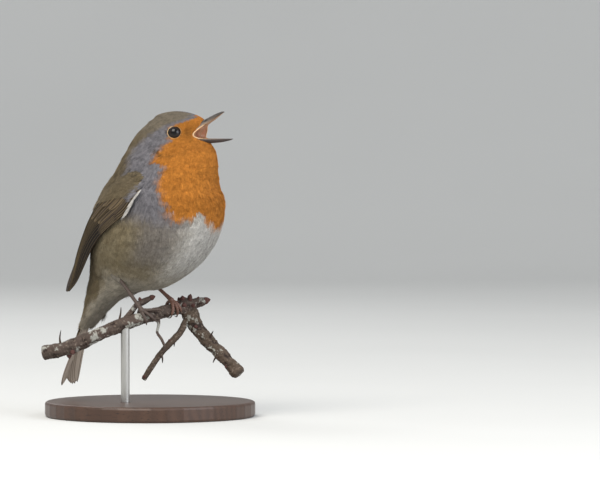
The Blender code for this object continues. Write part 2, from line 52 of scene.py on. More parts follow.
# %% [markdown]
# ## Colours and nodes
#
# A colour is easiest to choose as the hex code of a swatch, but light adds up in linear numbers, so one
# function turns the first into the second. A material is a small net of nodes. One helper adds a node,
# sets its switches and either fills or links its sockets, so that each material below reads as a list.

# %% Helpers for materials
LINEAR_CUT = 0.04045


def linear(code):
    """A hex colour as linear RGBA: c / 12.92 below the cut, ((c + 0.055) / 1.055) ** 2.4 above it."""
    c = np.array([int(code[k : k + 2], 16) for k in (1, 3, 5)]) / 255
    c = np.where(c <= LINEAR_CUT, c / 12.92, ((c + 0.055) / 1.055) ** 2.4)
    return (*c.tolist(), 1.0)


def add(tree, kind, switches=None, stops=None, **sockets):
    """Adds a node. A socket is named, or numbered as n0, n1; its value is a number, a colour or an output."""
    made = tree.nodes.new("ShaderNode" + kind)
    for key, value in (switches or {}).items():
        setattr(made, key, value)
    if stops:
        ramp = made.color_ramp.elements
        while len(ramp) < len(stops):
            ramp.new(0.5)
        for stop, (place, colour) in zip(ramp, stops):
            stop.position = place
            stop.color = linear(colour)
    for key, value in sockets.items():
        numbered = key[0] == "n" and key[1:].isdigit()
        socket = made.inputs[int(key[1:]) if numbered else key.replace("_", " ")]
        if isinstance(value, bpy.types.NodeSocket):
            tree.links.new(value, socket)
        elif isinstance(value, str):
            socket.default_value = linear(value)
        else:
            socket.default_value = value
    return made


def finish(name, **sockets):
    """A new material with its Principled shader's own sockets set. Returns it, its tree and the shader."""
    made = bpy.data.materials.new(name)
    made.use_nodes = True
    tree = made.node_tree
    shader = tree.nodes["Principled BSDF"]
    for key, value in sockets.items():
        shader.inputs[key.replace("_", " ")].default_value = value
    return made, tree, shader


def blend(tree, share, first, second, way="MIX"):
    """The output of a node that goes from the first colour to the second by a share of 0 to 1."""
    switches = {"data_type": "RGBA", "blend_type": way}
    return add(tree, "Mix", switches, n0=share, n6=first, n7=second).outputs[2]


def three(tree, name):
    """The three numbers that a mesh keeps for each point under a name, as outputs."""
    kept = add(tree, "Attribute", {"attribute_name": name})
    return add(tree, "SeparateXYZ", Vector=kept.outputs["Vector"]).outputs


def noise(tree, size, detail=2.0, **sockets):
    """Smooth chance shares with features about `size` metres across, fixed to the piece's own axes."""
    spot = add(tree, "TexCoord").outputs["Object"]
    return add(tree, "TexNoise", Vector=spot, Scale=1 / size, Detail=detail, **sockets).outputs["Fac"]


def ranged(tree, value, low, high, first=0.0, last=1.0):
    """The first number at low, the last at high, a straight line between them, and held beyond."""
    made = add(tree, "MapRange", Value=value, From_Min=low, From_Max=high, To_Min=first, To_Max=last)
    return made.outputs[0]


def maths(tree, kind, *values):
    """One step of arithmetic on its values."""
    return add(tree, "Math", {"operation": kind}, **{f"n{i}": v for i, v in enumerate(values)}).outputs[0]


def join(tree, colour, height, shader, strength=0.5, deep=0.0001):
    """Ends a material: its colour, and a height in metres as bump, go into the shader."""
    tree.links.new(colour, shader.inputs["Base Color"])
    if height is not None:
        relief = add(tree, "Bump", Strength=strength, Distance=deep, Height=height)
        tree.links.new(relief.outputs[0], shader.inputs["Normal"])


# %% [markdown]
# ## Making a mesh from arrays
#
# Blender takes a mesh fastest as flat arrays: all corners of all faces in one row. Each piece is made
# through one function, which also gives it its finish, and another fixes it to the body and hides the
# plain solids it stands for.

# %% Helpers for meshes
def mesh_of(name, points, faces, material, smooth=True):
    """A closed mesh object from points (n, 3) in millimetres and one or more arrays of faces. The faces
    are turned round if the volume under them, a sixth of the sum of det(a, b, c), comes out negative."""
    groups = faces if isinstance(faces, list) else [faces]
    points = np.asarray(points, float)
    centred = points - points.mean(axis=0)
    volume = sum(
        np.linalg.det(centred[g[:, [0, k, k + 1]]]).sum() for g in groups for k in range(1, g.shape[1] - 1)
    )
    groups = [g[:, ::-1] if volume < 0 else g for g in groups]
    sizes = np.concatenate([np.full(len(g), g.shape[1]) for g in groups])
    corners = np.concatenate([g.ravel() for g in groups])
    mesh = bpy.data.meshes.new(name)
    mesh.vertices.add(len(points))
    mesh.vertices.foreach_set("co", (points * MM).astype(np.float32).ravel())
    mesh.loops.add(len(corners))
    mesh.loops.foreach_set("vertex_index", corners.astype(np.int32))
    mesh.polygons.add(len(sizes))
    mesh.polygons.foreach_set("loop_start", (np.cumsum(sizes) - sizes).astype(np.int32))
    mesh.update(calc_edges=True)
    mesh.materials.append(material)
    mesh.polygons.foreach_set("use_smooth", np.full(len(sizes), smooth))
    made = bpy.data.objects.new(name, mesh)
    bpy.context.scene.collection.objects.link(made)
    return made


def corner_order(made):
    """The point number at each face corner of a finished mesh."""
    order = np.empty(len(made.data.loops), np.int32)
    made.data.loops.foreach_get("vertex_index", order)
    return order


def tag(made, name, values):
    """Keeps three numbers for each point as an attribute, for a material to read."""
    layer = made.data.attributes.new(name, "FLOAT_VECTOR", "POINT")
    layer.data.foreach_set("vector", values.astype(np.float32).ravel())


def lay_out(made, uv):
    """Gives a mesh the map OFBake, from one place for each point."""
    layer = made.data.uv_layers.new(name="OFBake")
    layer.uv.foreach_set("vector", uv[corner_order(made)].astype(np.float32).ravel())


def place(made, slot, *nodes):
    """Fixes a finished piece to the model's one body and hides the solids it replaces."""
    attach(made, "root")
    if nodes:
        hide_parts(*nodes)
    return made


def grid_faces(rows, columns, around=False):
    """Quads between neighbouring points of a grid stored row by row, joined round its columns if asked."""
    across = columns if around else columns - 1
    i, j = np.meshgrid(np.arange(rows - 1), np.arange(across), indexing="ij")
    k = (j + 1) % columns
    quads = np.stack([i * columns + j, i * columns + k, (i + 1) * columns + k, (i + 1) * columns + j], -1)
    return quads.reshape(-1, 4)


def sealed(rings):
    """Points and faces of a closed skin over rings (n, m, 3), with a fan round a middle point at each end."""
    count, sides = rings.shape[:2]
    points = np.vstack([rings.reshape(-1, 3), rings[0].mean(axis=0), rings[-1].mean(axis=0)])
    j = np.arange(sides)
    k = (j + 1) % sides
    last = (count - 1) * sides
    first_fan = np.stack([np.full(sides, count * sides), k, j], axis=1)
    last_fan = np.stack([np.full(sides, count * sides + 1), last + j, last + k], axis=1)
    return points, [grid_faces(count, sides, True), first_fan, last_fan]


def ease(value, start, end):
    """0 before start, 1 after end, and 3s^2 - 2s^3 between them."""
    s = np.clip((value - start) / (end - start), 0, 1)
    return s * s * (3 - 2 * s)


def unit(vectors):
    """Vectors made one long."""
    return vectors / np.maximum(np.linalg.norm(vectors, axis=-1, keepdims=True), 1e-12)


# %% [markdown]
# ## The body's shape
#
# A perched robin is an egg with a ball for a head. The body is given as slices, each from a point on the
# back to a point on the front, with a half width. A Catmull-Rom curve through the slices gives any slice
# between them. A place on the body is a pair q: its length is the slice number and its direction the
# angle round the slice, so the top of the crown is q = 0 and the surface is smooth there too.

# %% The slices
# Back x and z, front x and z, half width, and how pointed the front half is. Crown first, vent last.
BODY = np.array([
    [12.4, 139.3, 12.4, 139.3, 0, 1], [6, 138.1, 19, 138.7, 5, 1.1],
    [2.4, 135.9, 25, 136.6, 8.4, 1.3], [-1.6, 132.6, 28, 133.8, 10.1, 1.6],
    [-4.9, 129.4, 28.6, 130, 11.3, 1.9], [-7.7, 125.8, 29.3, 126, 12.7, 1.7],
    [-10, 121.9, 32, 121.3, 15, 1.3], [-12.4, 117.6, 32.8, 116.2, 17.8, 1.1],
    [-15.1, 112.8, 32.7, 111.2, 20.2, 1], [-18.6, 107, 33.4, 105.3, 22.6, 1],
    [-22.3, 100, 35.6, 97.5, 24.6, 1], [-25, 92.5, 35, 88.5, 25.3, 1],
    [-26.8, 84.5, 31.6, 79.5, 25, 1], [-28, 77.5, 25.5, 71, 22.6, 1],
    [-29, 71, 17, 64, 17.8, 1], [-30, 65, 7, 58.8, 12.4, 1],
    [-31, 59.5, -4.5, 56.6, 9.8, 1], [-32, 54, -14, 53.5, 8.6, 1],
    [-33, 49, -21.5, 48.3, 7.6, 1], [-34.2, 43.5, -27.8, 42.3, 6.8, 1],
])
LAST_SLICE = len(BODY) - 1
OVER_THE_CROWN = BODY[1][[2, 3, 0, 1, 4, 5]] * [1, 1, 1, 1, -1, 1]
HEAD_TURN = math.radians(6.0)
TURN_AXIS_X = 8.0
TURN_FROM_Z = 104.0
TURN_FULL_Z = 122.0


def spline(table, at, first=None):
    """Catmull-Rom: between rows b and c, with a before and d after, and u from 0 to 1, the row is
    half of 2b + (c - a)u + (2a - 5b + 4c - d)u^2 + (3b - a - 3c + d)u^3."""
    before = 2 * table[0] - table[1] if first is None else first
    rows = np.vstack([before, table, 2 * table[-1] - table[-2]])
    at = np.clip(np.asarray(at, float), 0, len(table) - 1)
    whole = np.minimum(at.astype(int), len(table) - 2)
    u = (at - whole)[..., None]
    a, b, c, d = (rows[whole + k] for k in range(4))
    return 0.5 * (2 * b + (c - a) * u + (2 * a - 5 * b + 4 * c - d) * u**2 + (3 * b - a - 3 * c + d) * u**3)

# %% [markdown]
# ## From slices to a surface
#
# From the neck up the head turns a few degrees to the left. The outline itself is one function of q,
# and its normals and bends come from small steps on it, so no mesh is needed to know them.

# %% The outline and its slopes
def turned(points, way=1):
    """Turns what is above the neck about the neck's upright line, by an angle that eases in with height.
    With way = -1 it turns it straight again."""
    angle = way * HEAD_TURN * ease(points[..., 2], TURN_FROM_Z, TURN_FULL_Z)
    x, y = points[..., 0] - TURN_AXIS_X, points[..., 1]
    out = points.copy()
    out[..., 0] = TURN_AXIS_X + x * np.cos(angle) - y * np.sin(angle)
    out[..., 1] = x * np.sin(angle) + y * np.cos(angle)
    return out


def body_at(q):
    """The body's outline: x and z go by the cosine of the angle between the back and the front line, and
    y is the half width times the sine, raised to the slice's power on the front half."""
    angle = np.arctan2(q[..., 1], q[..., 0])
    rows = spline(BODY, np.hypot(q[..., 0], q[..., 1]), first=OVER_THE_CROWN)
    cosine, sine = np.cos(angle), np.sin(angle)
    back, front = rows[..., 0:2], rows[..., 2:4]
    middle = (back + front) / 2
    profile = middle + (back - middle) * cosine[..., None]
    power = np.where(cosine < 0, rows[..., 5], 1.0)
    width = rows[..., 4] * np.sign(sine) * np.abs(sine) ** power
    return turned(np.stack([profile[..., 0], width, profile[..., 1]], axis=-1))


def place_of(slice_number, angle):
    """The pair q of a slice number and an angle in radians."""
    return np.stack([slice_number * np.cos(angle), slice_number * np.sin(angle)], axis=-1)


def lay_of(surface, q, step, outward):
    """A surface near q: the point, the outward unit normal, both slopes, and the three second slopes
    along the normal. All are differences over a small step."""
    e, f = np.array([step, 0.0]), np.array([0.0, step])
    point = surface(q)
    ahead, behind, left, right = surface(q + e), surface(q - e), surface(q + f), surface(q - f)
    du, dv = (ahead - behind) / (2 * step), (left - right) / (2 * step)
    normal = unit(np.cross(du, dv)) * outward
    mixed = surface(q + e + f) - surface(q + e - f) - surface(q - e + f) + surface(q - e - f)
    second = [ahead + behind - 2 * point, mixed / 4, left + right - 2 * point]
    bends = [(s * normal).sum(-1) / step**2 for s in second]
    return point, normal, du, dv, bends


body_sample = body_at(place_of(np.linspace(0, LAST_SLICE, 200)[:, None], np.linspace(0, 2 * math.pi, 90)))
print("body box, mm:", np.round(np.ptp(body_sample.reshape(-1, 3), axis=0), 1))

# %% [markdown]
# ## The markings
#
# A robin's orange runs from the forehead round the eye and down over the breast, with a band of blue grey
# beside it. The back is olive brown, the belly white and the flanks and undertail buff. Each marking is a
# share between 0 and 1, worked out from the slice number and from the angle off the back in degrees. The
# skin and every feather take their shares from the same function, so they carry the same markings.

# %% Where the markings run
# The near edge of the orange: slice number and angle off the back.
BIB_EDGE = np.array([
    [0, 200], [1.6, 200], [1.93, 155], [2.4, 128], [2.88, 105], [3.25, 95], [3.7, 93],
    [4.5, 96], [5.08, 101], [5.68, 93], [6.18, 86], [6.83, 84], [7.25, 86], [7.5, 99],
    [7.88, 106], [8.55, 104], [9.5, 109], [10.18, 114], [10.8, 119], [11.6, 123],
])
# Its lower edge, with a pale notch on each side of the middle: angle and slice number.
BIB_FOOT = np.array([
    [100, 11], [129, 11.05], [139, 11.1], [146, 10.85], [152, 10.62], [159, 11.1],
    [180, 11.5],
])
# The far edge of the grey: slice number and angle.
GREY_EDGE = np.array([
    [1.5, 165], [2.2, 120], [3, 84], [3.9, 66], [5.2, 55], [6.3, 42], [7.6, 52],
    [9, 62], [12, 76],
])
# The fold below the ear coverts, along which a thin line of painted shade runs: angle and slice number.
EAR_FOLD = np.array([
    [80, 6.08], [84, 6.35], [89, 6.58], [96, 6.68], [102, 6.73], [109, 6.6], [114, 6.38],
    [130, 5.7],
])

# %% [markdown]
# ## Mixing the markings
#
# Each border is ragged by a millimetre or so, as the feathers that make it are, and each colour eases in
# over a few degrees or a part of a slice.

# %% The shares of each colour
def markings(q):
    """Shares of buff, white and grey, and of orange, dusky lores with a painted fold shade, and streaking,
    at places q on the body.
    """
    at = np.hypot(q[..., 0], q[..., 1])
    off = np.degrees(np.abs(np.arctan2(q[..., 1], q[..., 0])))
    ragged = 2.2 * np.sin(at * 9.1 + off * 0.21) + 1.6 * np.sin(at * 17.0 - off * 0.43)
    past_edge = off + ragged - np.interp(at, *BIB_EDGE.T)
    above_foot = np.interp(off, *BIB_FOOT.T) + 0.03 * ragged - at
    bib = ease(past_edge, -5.0, 5.0) * ease(above_foot, -0.10, 0.14)
    past_grey = off + ragged - np.interp(at, *GREY_EDGE.T)
    lower = 0.5 * ease(off, 80, 112)
    grey = ease(past_grey, -11, 9) * (1 - ease(at, 10.3 + lower, 11.7 + lower))
    grey = grey * (1 - ease(off, 124, 146) * ease(at, 10.3, 10.9))
    # Where the brown side of the tail's root gives way to the pale undertail.
    tail_side = np.interp(at, [13.5, 14.4, 15.6, 16.6], [47.0, 54.0, 72.0, 84.0])
    buff = ease(off - tail_side, -13, 13) * ease(at, 9.8, 12.2)
    belly = 0.55 * ease(off, 84, 108) * (1 - ease(off, 118, 148)) * ease(at, 10.8, 11.6)
    grey = np.maximum(grey, belly * (1 - ease(at, 12.6, 14.6)))
    white = ease(off + ragged, 114, 154) * ease(at, 10.2, 11.2) * (1 - 0.6 * ease(at, 13.0, 15.0))
    white = np.maximum(white, 0.34 * ease(at, 14.0, 15.2) * ease(off - tail_side, -10, 18))
    lores = 0.5 * np.exp(-(((at - 4.15) / 0.8) ** 2) - ((off - 126) / 8.5) ** 2)
    lores = lores * (0.75 + 0.25 * np.sin(at * 31 + off * 1.7) * np.sin(off * 2.3 - at * 19))
    # A thin dark line along EAR_FOLD is painted shade. It stands in for a fold that the outline does not
    # have.
    fold_shade = ease(off, 77, 82) * (0.9 - 0.55 * ease(off, 88, 98)) * (1 - ease(off, 112, 130))
    fold_shade = fold_shade * np.exp(-(((at - np.interp(off, *EAR_FOLD.T)) / 0.11) ** 2))
    crown = 0.06 * (1 - ease(at, 3.2, 6.0)) * (1 - bib)
    grey = np.maximum(grey, 0.25 * (1 - ease(at, 3.0, 5.2)))
    buff = np.maximum(buff, 0.5 * (1 - ease(at, 3.2, 5.4)))
    breast_side = 0.5 * ease(at, 11.3, 11.9) * (1 - ease(at, 13.6, 14.6)) * ease(off, 146, 166)
    return (
        np.stack([buff, white, grey], axis=-1),
        np.stack([bib, np.maximum(lores, fold_shade), np.maximum(crown, breast_side)], axis=-1),
    )


# %% [markdown]
# ## What a coat looks like close to
#
# A body feather has a dark downy root and loose barbs. Light sinks into it and comes back soft, so the
# finish is rough with a trace of sheen. Each point carries how far along its barb it is and two chance
# numbers, one for its feather and one for the barb. Each barb is darker toward its root, partly for the
# grey down there and partly as painted shade deep in the coat. The chance numbers vary the tone by up to
# a sixth, which makes the fine streaks of a real coat. Patches 4 mm wide drift warmer and cooler, and tufts
# 1.6 mm wide lighter and darker. To the eye it is matt and soft, with no highlight of its own.

# %% Plumage
COLOURS = {
    "olive": "#625848",
    "olive_warm": "#6e624b",
    "buff": "#766950",
    "buff_pale": "#8a8069",
    "white": "#c1beb8",
    "grey": "#6b696d",
    "grey_pale": "#7d7b7f",
    "orange": "#bb7a33",
    "orange_deep": "#a66829",
    # Dark brown for the dusky lores, and for the painted shade of the fold below the ear coverts.
    "dusk_and_fold_shade": "#45341c",
    "streak": "#38332b",
}
PATCH = 0.004
TUFT = 0.0016
ROOT_DOWN_AND_SHADE = 0.72


def plumage_of(name):
    """Body feathers: the markings mix the base colours. The barbs darken them toward the root, for the grey
    down there and as painted shade in the coat, and vary them by chance across.
    """
    soft = {"Roughness": 0.92, "Sheen_Weight": 0.04, "Sheen_Roughness": 0.5, "Specular_IOR_Level": 0.08}
    made, tree, shader = finish(name, **soft)
    first, second, lie = (three(tree, kept) for kept in ("marks", "marks_more", "lie"))
    drift = noise(tree, PATCH, Roughness=0.6)
    pairs = [("olive", "olive_warm"), ("buff", "buff_pale"), ("grey", "grey_pale"), ("orange", "orange_deep")]
    olive, buff, grey, orange = (blend(tree, drift, COLOURS[a], COLOURS[b]) for a, b in pairs)
    over = [buff, COLOURS["white"], grey, orange, COLOURS["dusk_and_fold_shade"], COLOURS["streak"]]
    colour = olive
    for share, laid in zip([*first, *second], over):
        colour = blend(tree, share, colour, laid)
    # Darker toward each barb's root: partly its grey down, partly painted shade deep in the coat.
    tone = ranged(tree, lie[0], 0, 1, ROOT_DOWN_AND_SHADE, 1.0)
    tuft = ranged(tree, noise(tree, TUFT, Roughness=0.7), 0.3, 0.7, 0.8, 1.14)
    for shade in (ranged(tree, lie[1], 0, 1, 0.84, 1.12), ranged(tree, lie[2], 0, 1, 0.8, 1.16), tuft):
        tone = maths(tree, "MULTIPLY", tone, shade)
    join(tree, add(tree, "HueSaturation", Value=tone, Color=colour).outputs[0], None, shader)
    return made


plumage = plumage_of("body_feathers")

# %% [markdown]
# ## The skin
#
# Under the feathers lies one skin without seams. It follows the body's outline, drawn in along the normal
# by the depth of the coat, which is thin round the bill and full from the breast down. The mouth is cut
# from it with two plain solids: a wedge between the jaws, as wide as the head, whose cut faces look like
# the down of the face, and a round throat, lined with the mouth's own wet, pinkish flesh.

# %% Sizes of the coat
BILL_BASE = turned(np.array([26.5, 0.0, 131.0]))
EYE_X = 16.2
EYE_Z = 129.7
EYE_RADIUS = 3.5
EYE_DEPTH = 2.3
SHORTEST, LONGEST, LONGER_PER_MM = 1.1, 7.0, 0.155
# The corner of the mouth on the head before it turns: x and z.
RICTUS = np.array([23.6, 128.0])
# The cutting edge of the upper jaw from the corner of the mouth outward: x and z.
JAW_LINE = np.array([
    [23.6, 129.3], [24.6, 130.6], [26.3, 132.1], [27.6, 133], [35.6, 137.6],
])


def feather_length(points):
    """A feather's length grows with its distance from the bill, from 1.1 mm on the face to 7 mm."""
    away = np.linalg.norm(points - BILL_BASE, axis=-1)
    return np.clip(0.55 + LONGER_PER_MM * away, SHORTEST, LONGEST)


def coat_depth(length):
    """How far the skin lies under the outline."""
    return 0.22 + 0.13 * length


def eye_seat(side):
    """The centre of an eyeball and the outward direction: the outline's nearest point to the eye's x and
    z on that side, moved in along its normal."""
    q = place_of(np.linspace(1, 8, 141)[:, None], np.radians(np.linspace(60, 150, 181)) * side)
    point, normal, *_ = lay_of(body_at, q, 0.02, -1)
    straight = turned(point, -1)
    near = (straight[..., 0] - EYE_X) ** 2 + (straight[..., 2] - EYE_Z) ** 2
    i, j = np.unravel_index(near.argmin(), near.shape)
    return point[i, j] - normal[i, j] * EYE_DEPTH, normal[i, j]


eyes = {"right": eye_seat(-1), "left": eye_seat(1)}
print("eye centres, mm:", {side: np.round(seat[0], 1).tolist() for side, seat in eyes.items()})


# %% [markdown]
# ## Cutting the mouth
#
# The outline has no mouth, so the skin is made whole and the space between the jaws is cut from it. A cut
# is quick and exact here because both solids are closed and plain.

# %% The skin's mesh
SKIN_RINGS = 190
SKIN_SIDES = 150
CHEEK_OUT = 14.0


def cut(made, *cutters):
    """Takes closed cutters out of a piece for good, with their own finish on the cut, and removes them."""
    for cutter in cutters:
        step = made.modifiers.new(cutter.name, "BOOLEAN")
        step.operation = "DIFFERENCE"
        step.solver = "MANIFOLD"
        step.object = cutter
        step.material_mode = "TRANSFER"
    graph = bpy.context.evaluated_depsgraph_get()
    made.data = bpy.data.meshes.new_from_object(made.evaluated_get(graph))
    made.modifiers.clear()
    for cutter in cutters:
        bpy.data.objects.remove(cutter)


def mouth_solids(face, flesh):
    """The wedge between the jaws, from cheek to cheek, and the throat behind it."""
    x, z = RICTUS
    outline = np.vstack([[(x + 12.0, z - 1.8), (x + 0.3, z - 0.5), (x, z + 0.2)], JAW_LINE])
    ends = (-CHEEK_OUT, CHEEK_OUT)
    sides = [np.column_stack([outline[:, 0], np.full(len(outline), y), outline[:, 1]]) for y in ends]
    wedge = mesh_of("mouth_wedge", *sealed(turned(np.array(sides))), face)
    table = np.array([[x - 5.0, 0, z - 0.8, 1.6], [x, 0, z + 0.2, 2.6], [x + 3, 0, z + 2.2, 2.8]])
    rows = spline(table, np.linspace(0, 2, 9))
    angle = np.linspace(0, 2 * math.pi, 20, endpoint=False)
    ring = np.stack([0 * angle, np.cos(angle), np.sin(angle)], axis=1)
    throat = mesh_of("throat", *sealed(turned(rows[:, None, :3] + ring * rows[:, None, 3:4])), flesh)
    return wedge, throat


def make_skin(face, flesh):
    """The outline drawn in by the coat's depth along its normal, closed at the vent and cut for the mouth."""
    at = np.linspace(0.03, LAST_SLICE, SKIN_RINGS)
    q = place_of(at[:, None], np.linspace(0, 2 * math.pi, SKIN_SIDES, endpoint=False))
    point, normal, *_ = lay_of(body_at, q, 0.02, -1)
    rings = point - normal * coat_depth(feather_length(point))[..., None]
    made = mesh_of("skin", *sealed(rings), plumage)
    flat = q.reshape(-1, 2)
    ends = [flat[:SKIN_SIDES].mean(axis=0), flat[-SKIN_SIDES:].mean(axis=0) + [LAST_SLICE, 0]]
    marks, more = markings(np.vstack([flat, ends]))
    tag(made, "marks", marks)
    tag(made, "marks_more", more)
    # The skin takes the tone of a barb near its root: its down, and painted shade under the coat.
    tag(made, "lie", np.tile([0.7, 0.5, 0.5], (len(marks), 1)))
    cut(made, *mouth_solids(face, flesh))
    return place(made, "plumage", "head", "neck", "trunk")


flesh, tree, shader = finish(
    "mouth_flesh", Roughness=0.32, Specular_IOR_Level=0.5, Subsurface_Weight=0.15, Subsurface_Scale=0.001
)
veins, wet = noise(tree, 0.0012, 3.0), noise(tree, 0.0005)
join(tree, blend(tree, veins, "#a97a60", "#bf9073"), wet, shader, 0.3)
face, tree, shader = finish("face_down", Roughness=0.9, Specular_IOR_Level=0.1)
wisps = noise(tree, 0.0006, 3.0)
join(tree, blend(tree, wisps, "#8f6a50", "#a98467"), wisps, shader, 0.5)
skin = make_skin(face, flesh)
print("skin faces:", len(skin.data.polygons))

# %% [markdown]
# ## The coat
#
# A contour feather is a short shaft with barbs that spread to a rounded end. Here each feather is a fan of
# barbs, and each barb a closed splinter of six triangles: a root point, a low ridge of three points in
# its middle, and a tip. The feathers are rooted evenly over the body with the R2 sequence, closer together
# where they are short. Every fan lies in a curved sheet, h = (A x^2 + 2 B x y + C y^2) / 2, that bends as
# the body does at its root, so the barbs hug the bird and their tips end at the true outline. The
# splinters are shaded flat: with rounded shading so thin a solid would shine like a thread.

# %% Where the feathers are rooted and how they lie
R2 = np.array([0.7548776662466927, 0.5698402909980532])
ROOT_SPACING = 0.25


def scatter(surface, first, second, size_at):
    """Parameters (n, 2) spread over a surface so that the space between two is in step with the size
    there: the R2 sequence goes through the running sums of area / spacing^2, first by row, then in it."""
    q = np.stack(np.broadcast_arrays(first[:, None], second[None]), axis=-1)
    points = surface(q)
    down, along = np.gradient(points, axis=0), np.gradient(points, axis=1)
    area = np.linalg.norm(np.cross(down, along), axis=-1)
    weight = area / size_at(points) ** 2
    rows = weight.sum(axis=1)
    steps = np.arange(1, int(rows.sum()) + 1)[:, None]
    a, b = (0.5 + steps * R2).T % 1
    share = np.cumsum(rows) / rows.sum()
    row = np.minimum(np.searchsorted(share, a), len(first) - 1)
    inner = np.cumsum(weight, axis=1) / rows[:, None]
    ladder = (inner + np.arange(len(first))[:, None]).ravel()
    found = np.interp(row + b, ladder, np.tile(second, len(first)))
    return np.stack([np.interp(a, share, first), found], axis=-1)


def lean_of(point, q):
    """The way a feather lies: away from the bill on the head, and down the slices from the neck on, with
    a sway of a few degrees from place to place."""
    at, angle = np.hypot(q[:, 0], q[:, 1]), np.arctan2(q[:, 1], q[:, 0])
    down = unit(body_at(place_of(at + 0.1, angle)) - body_at(place_of(at - 0.1, angle)))
    away = unit(point - BILL_BASE)
    share = ease(at, 5.0, 9.0)[:, None]
    x, y, z = point.T
    sway = 0.13 * np.sin(z * 0.45 + y * 0.3) + 0.1 * np.sin(x * 0.7 - z * 0.21)
    return unit(away * (1 - share) + down * share), sway

# %% [markdown]
# ## The sheet that a feather lies in
#
# At each root the surface gives a normal and second slopes. Turned to the feather's own directions they
# say how its sheet has to bend to follow the bird.

# %% The sheet of a fan
def fan_frame(surface, q, step, outward, lean, sway):
    """Root, normal, and unit vectors ahead and aside in the sheet, with its bends A, B and C. The bends
    come from the second slopes, taken along the two vectors."""
    point, normal, du, dv, (uu, uv, vv) = lay_of(surface, q, step, outward)
    ahead = unit(lean - normal * (lean * normal).sum(-1, keepdims=True))
    aside = np.cross(normal, ahead)
    swing = np.cos(sway)[:, None], np.sin(sway)[:, None]
    ahead, aside = ahead * swing[0] + aside * swing[1], aside * swing[0] - ahead * swing[1]
    e, f, g = (du * du).sum(-1), (du * dv).sum(-1), (dv * dv).sum(-1)
    spread = np.maximum(e * g - f * f, 1e-9)

    def velocity(way):
        a, b = (way * du).sum(-1), (way * dv).sum(-1)
        return (g * a - f * b) / spread, (e * b - f * a) / spread

    (a, b), (c, d) = velocity(ahead), velocity(aside)
    bends = uu * a * a + 2 * uv * a * b + vv * b * b, uu * a * c + uv * (a * d + b * c) + vv * b * d
    bends = (*bends, uu * c * c + 2 * uv * c * d + vv * d * d)
    return point, normal, ahead, aside, [np.clip(k, -0.12, 0.08) for k in bends], np.stack([a, b], axis=-1)


# %% [markdown]
# ## A field of feathers at once
#
# All barbs of all feathers in a region are worked out together: each number below is an array with a row
# for a feather and a column for a barb. The tips are ragged by chance, as loose barbs are.

# %% A field of fans
SPLINTER = np.array([
    [0, 2, 3], [0, 3, 1], [0, 1, 2], [4, 3, 2], [4, 1, 3], [4, 2, 1],
])
PATCH_SIZE = 0.003
# How far chance lifts a tip, as a share of the depth, and a barb's width in mm where 24 make a feather.
FLUFF = 0.1
BARB_WIDTH = 0.26
FULL_BARBS = 24


def fans(name, frames, length, width, depth, barbs, marks, uv):
    """One mesh of many fans. A barb at side share s goes from near the shaft to the rounded end
    x = L (1 - 0.3 s^2), y = W s / 2. Its root is at the coat's depth and its tip at the outline."""
    point, normal, ahead, aside, bends, _ = frames
    count = len(point)
    shape = (count, barbs)
    s = np.linspace(-1, 1, barbs) + chance.normal(0, 0.5 / barbs, shape)
    L, W, D = length[:, None], width[:, None], depth[:, None]
    feather = np.repeat(chance.uniform(0, 1, (count, 1)), barbs, axis=1)
    barb = chance.uniform(0, 1, shape)
    x0 = L * (0.3 * chance.uniform(0, 1, shape) * (1 - s * s))
    y0 = 0.12 * W * s
    x1 = L * (1 - 0.3 * s * s) * (1 + 0.09 * chance.normal(0, 1, shape))
    y1 = 0.5 * W * s * (1 + 0.15 * chance.normal(0, 1, shape))
    slim = np.sqrt(L / LONGEST * FULL_BARBS / max(barbs, FULL_BARBS))
    half = 0.5 * BARB_WIDTH * (0.75 + 0.5 * barb) * slim
    lift = FLUFF * D * chance.normal(0, 1, shape)
    arch = 0.05 * W * (1 - s * s)
    x = np.stack([x0, *[0.5 * (x0 + x1)] * 3, x1], axis=-1)
    middle = y0 + 0.42 * (y1 - y0)
    y = np.stack([y0, middle - half, middle + half, middle, y1], axis=-1)
    low = -0.38 * D + 0.5 * lift + 0.6 * arch
    h = np.stack([-1.0 * D + 0 * s, low, low, low + 0.3 * half, 0.35 * arch - 0.1 * D + lift], axis=-1)
    A, B, C = (k[:, None, None] for k in bends)
    h = h + 0.5 * (A * x * x + 2 * B * x * y + C * y * y)
    way = [v[:, None, None] for v in (point, ahead, aside, normal)]
    places = way[0] + way[1] * x[..., None] + way[2] * y[..., None] + way[3] * h[..., None]
    faces = SPLINTER[None] + 5 * np.arange(count * barbs)[:, None, None]
    made = mesh_of(name, places.reshape(-1, 3), faces.reshape(-1, 3), plumage, smooth=False)
    along = np.broadcast_to(np.array([0, 0.5, 0.5, 0.55, 1.0]), (*shape, 5))
    lie = np.stack([along, *[np.broadcast_to(v[..., None], along.shape) for v in (feather, barb)]], axis=-1)
    tag(made, "lie", lie.reshape(-1, 3))
    whole = [np.broadcast_to(m[:, None, None], (*shape, 5, 3)).copy() for m in marks]
    shaft = np.clip(1.15 - 1.3 * np.abs(s), 0, 1) * (feather > 0.35)
    whole[1][..., 2] *= shaft[..., None]
    tag(made, "marks", whole[0].reshape(-1, 3))
    tag(made, "marks_more", whole[1].reshape(-1, 3))
    inside = np.stack([y / W[..., None], x / L[..., None] - 0.5], axis=-1) * PATCH_SIZE
    lay_out(made, (uv[:, None, None] + inside).reshape(-1, 2))
    return place(made, "plumage")


def unwrapped(a, b):
    """Two running lengths or angles as a map that keeps a small margin and fills the rest."""
    both = np.stack([a, b], axis=-1)
    low, span = both.min(axis=0), np.ptp(both, axis=0)
    return 0.02 + 0.96 * (both - low) / span


# %% [markdown]
# ## Dressing the body
#
# The roots cover the whole body. Regions split them into pieces small enough to handle, with more barbs
# to a feather where feathers are long.

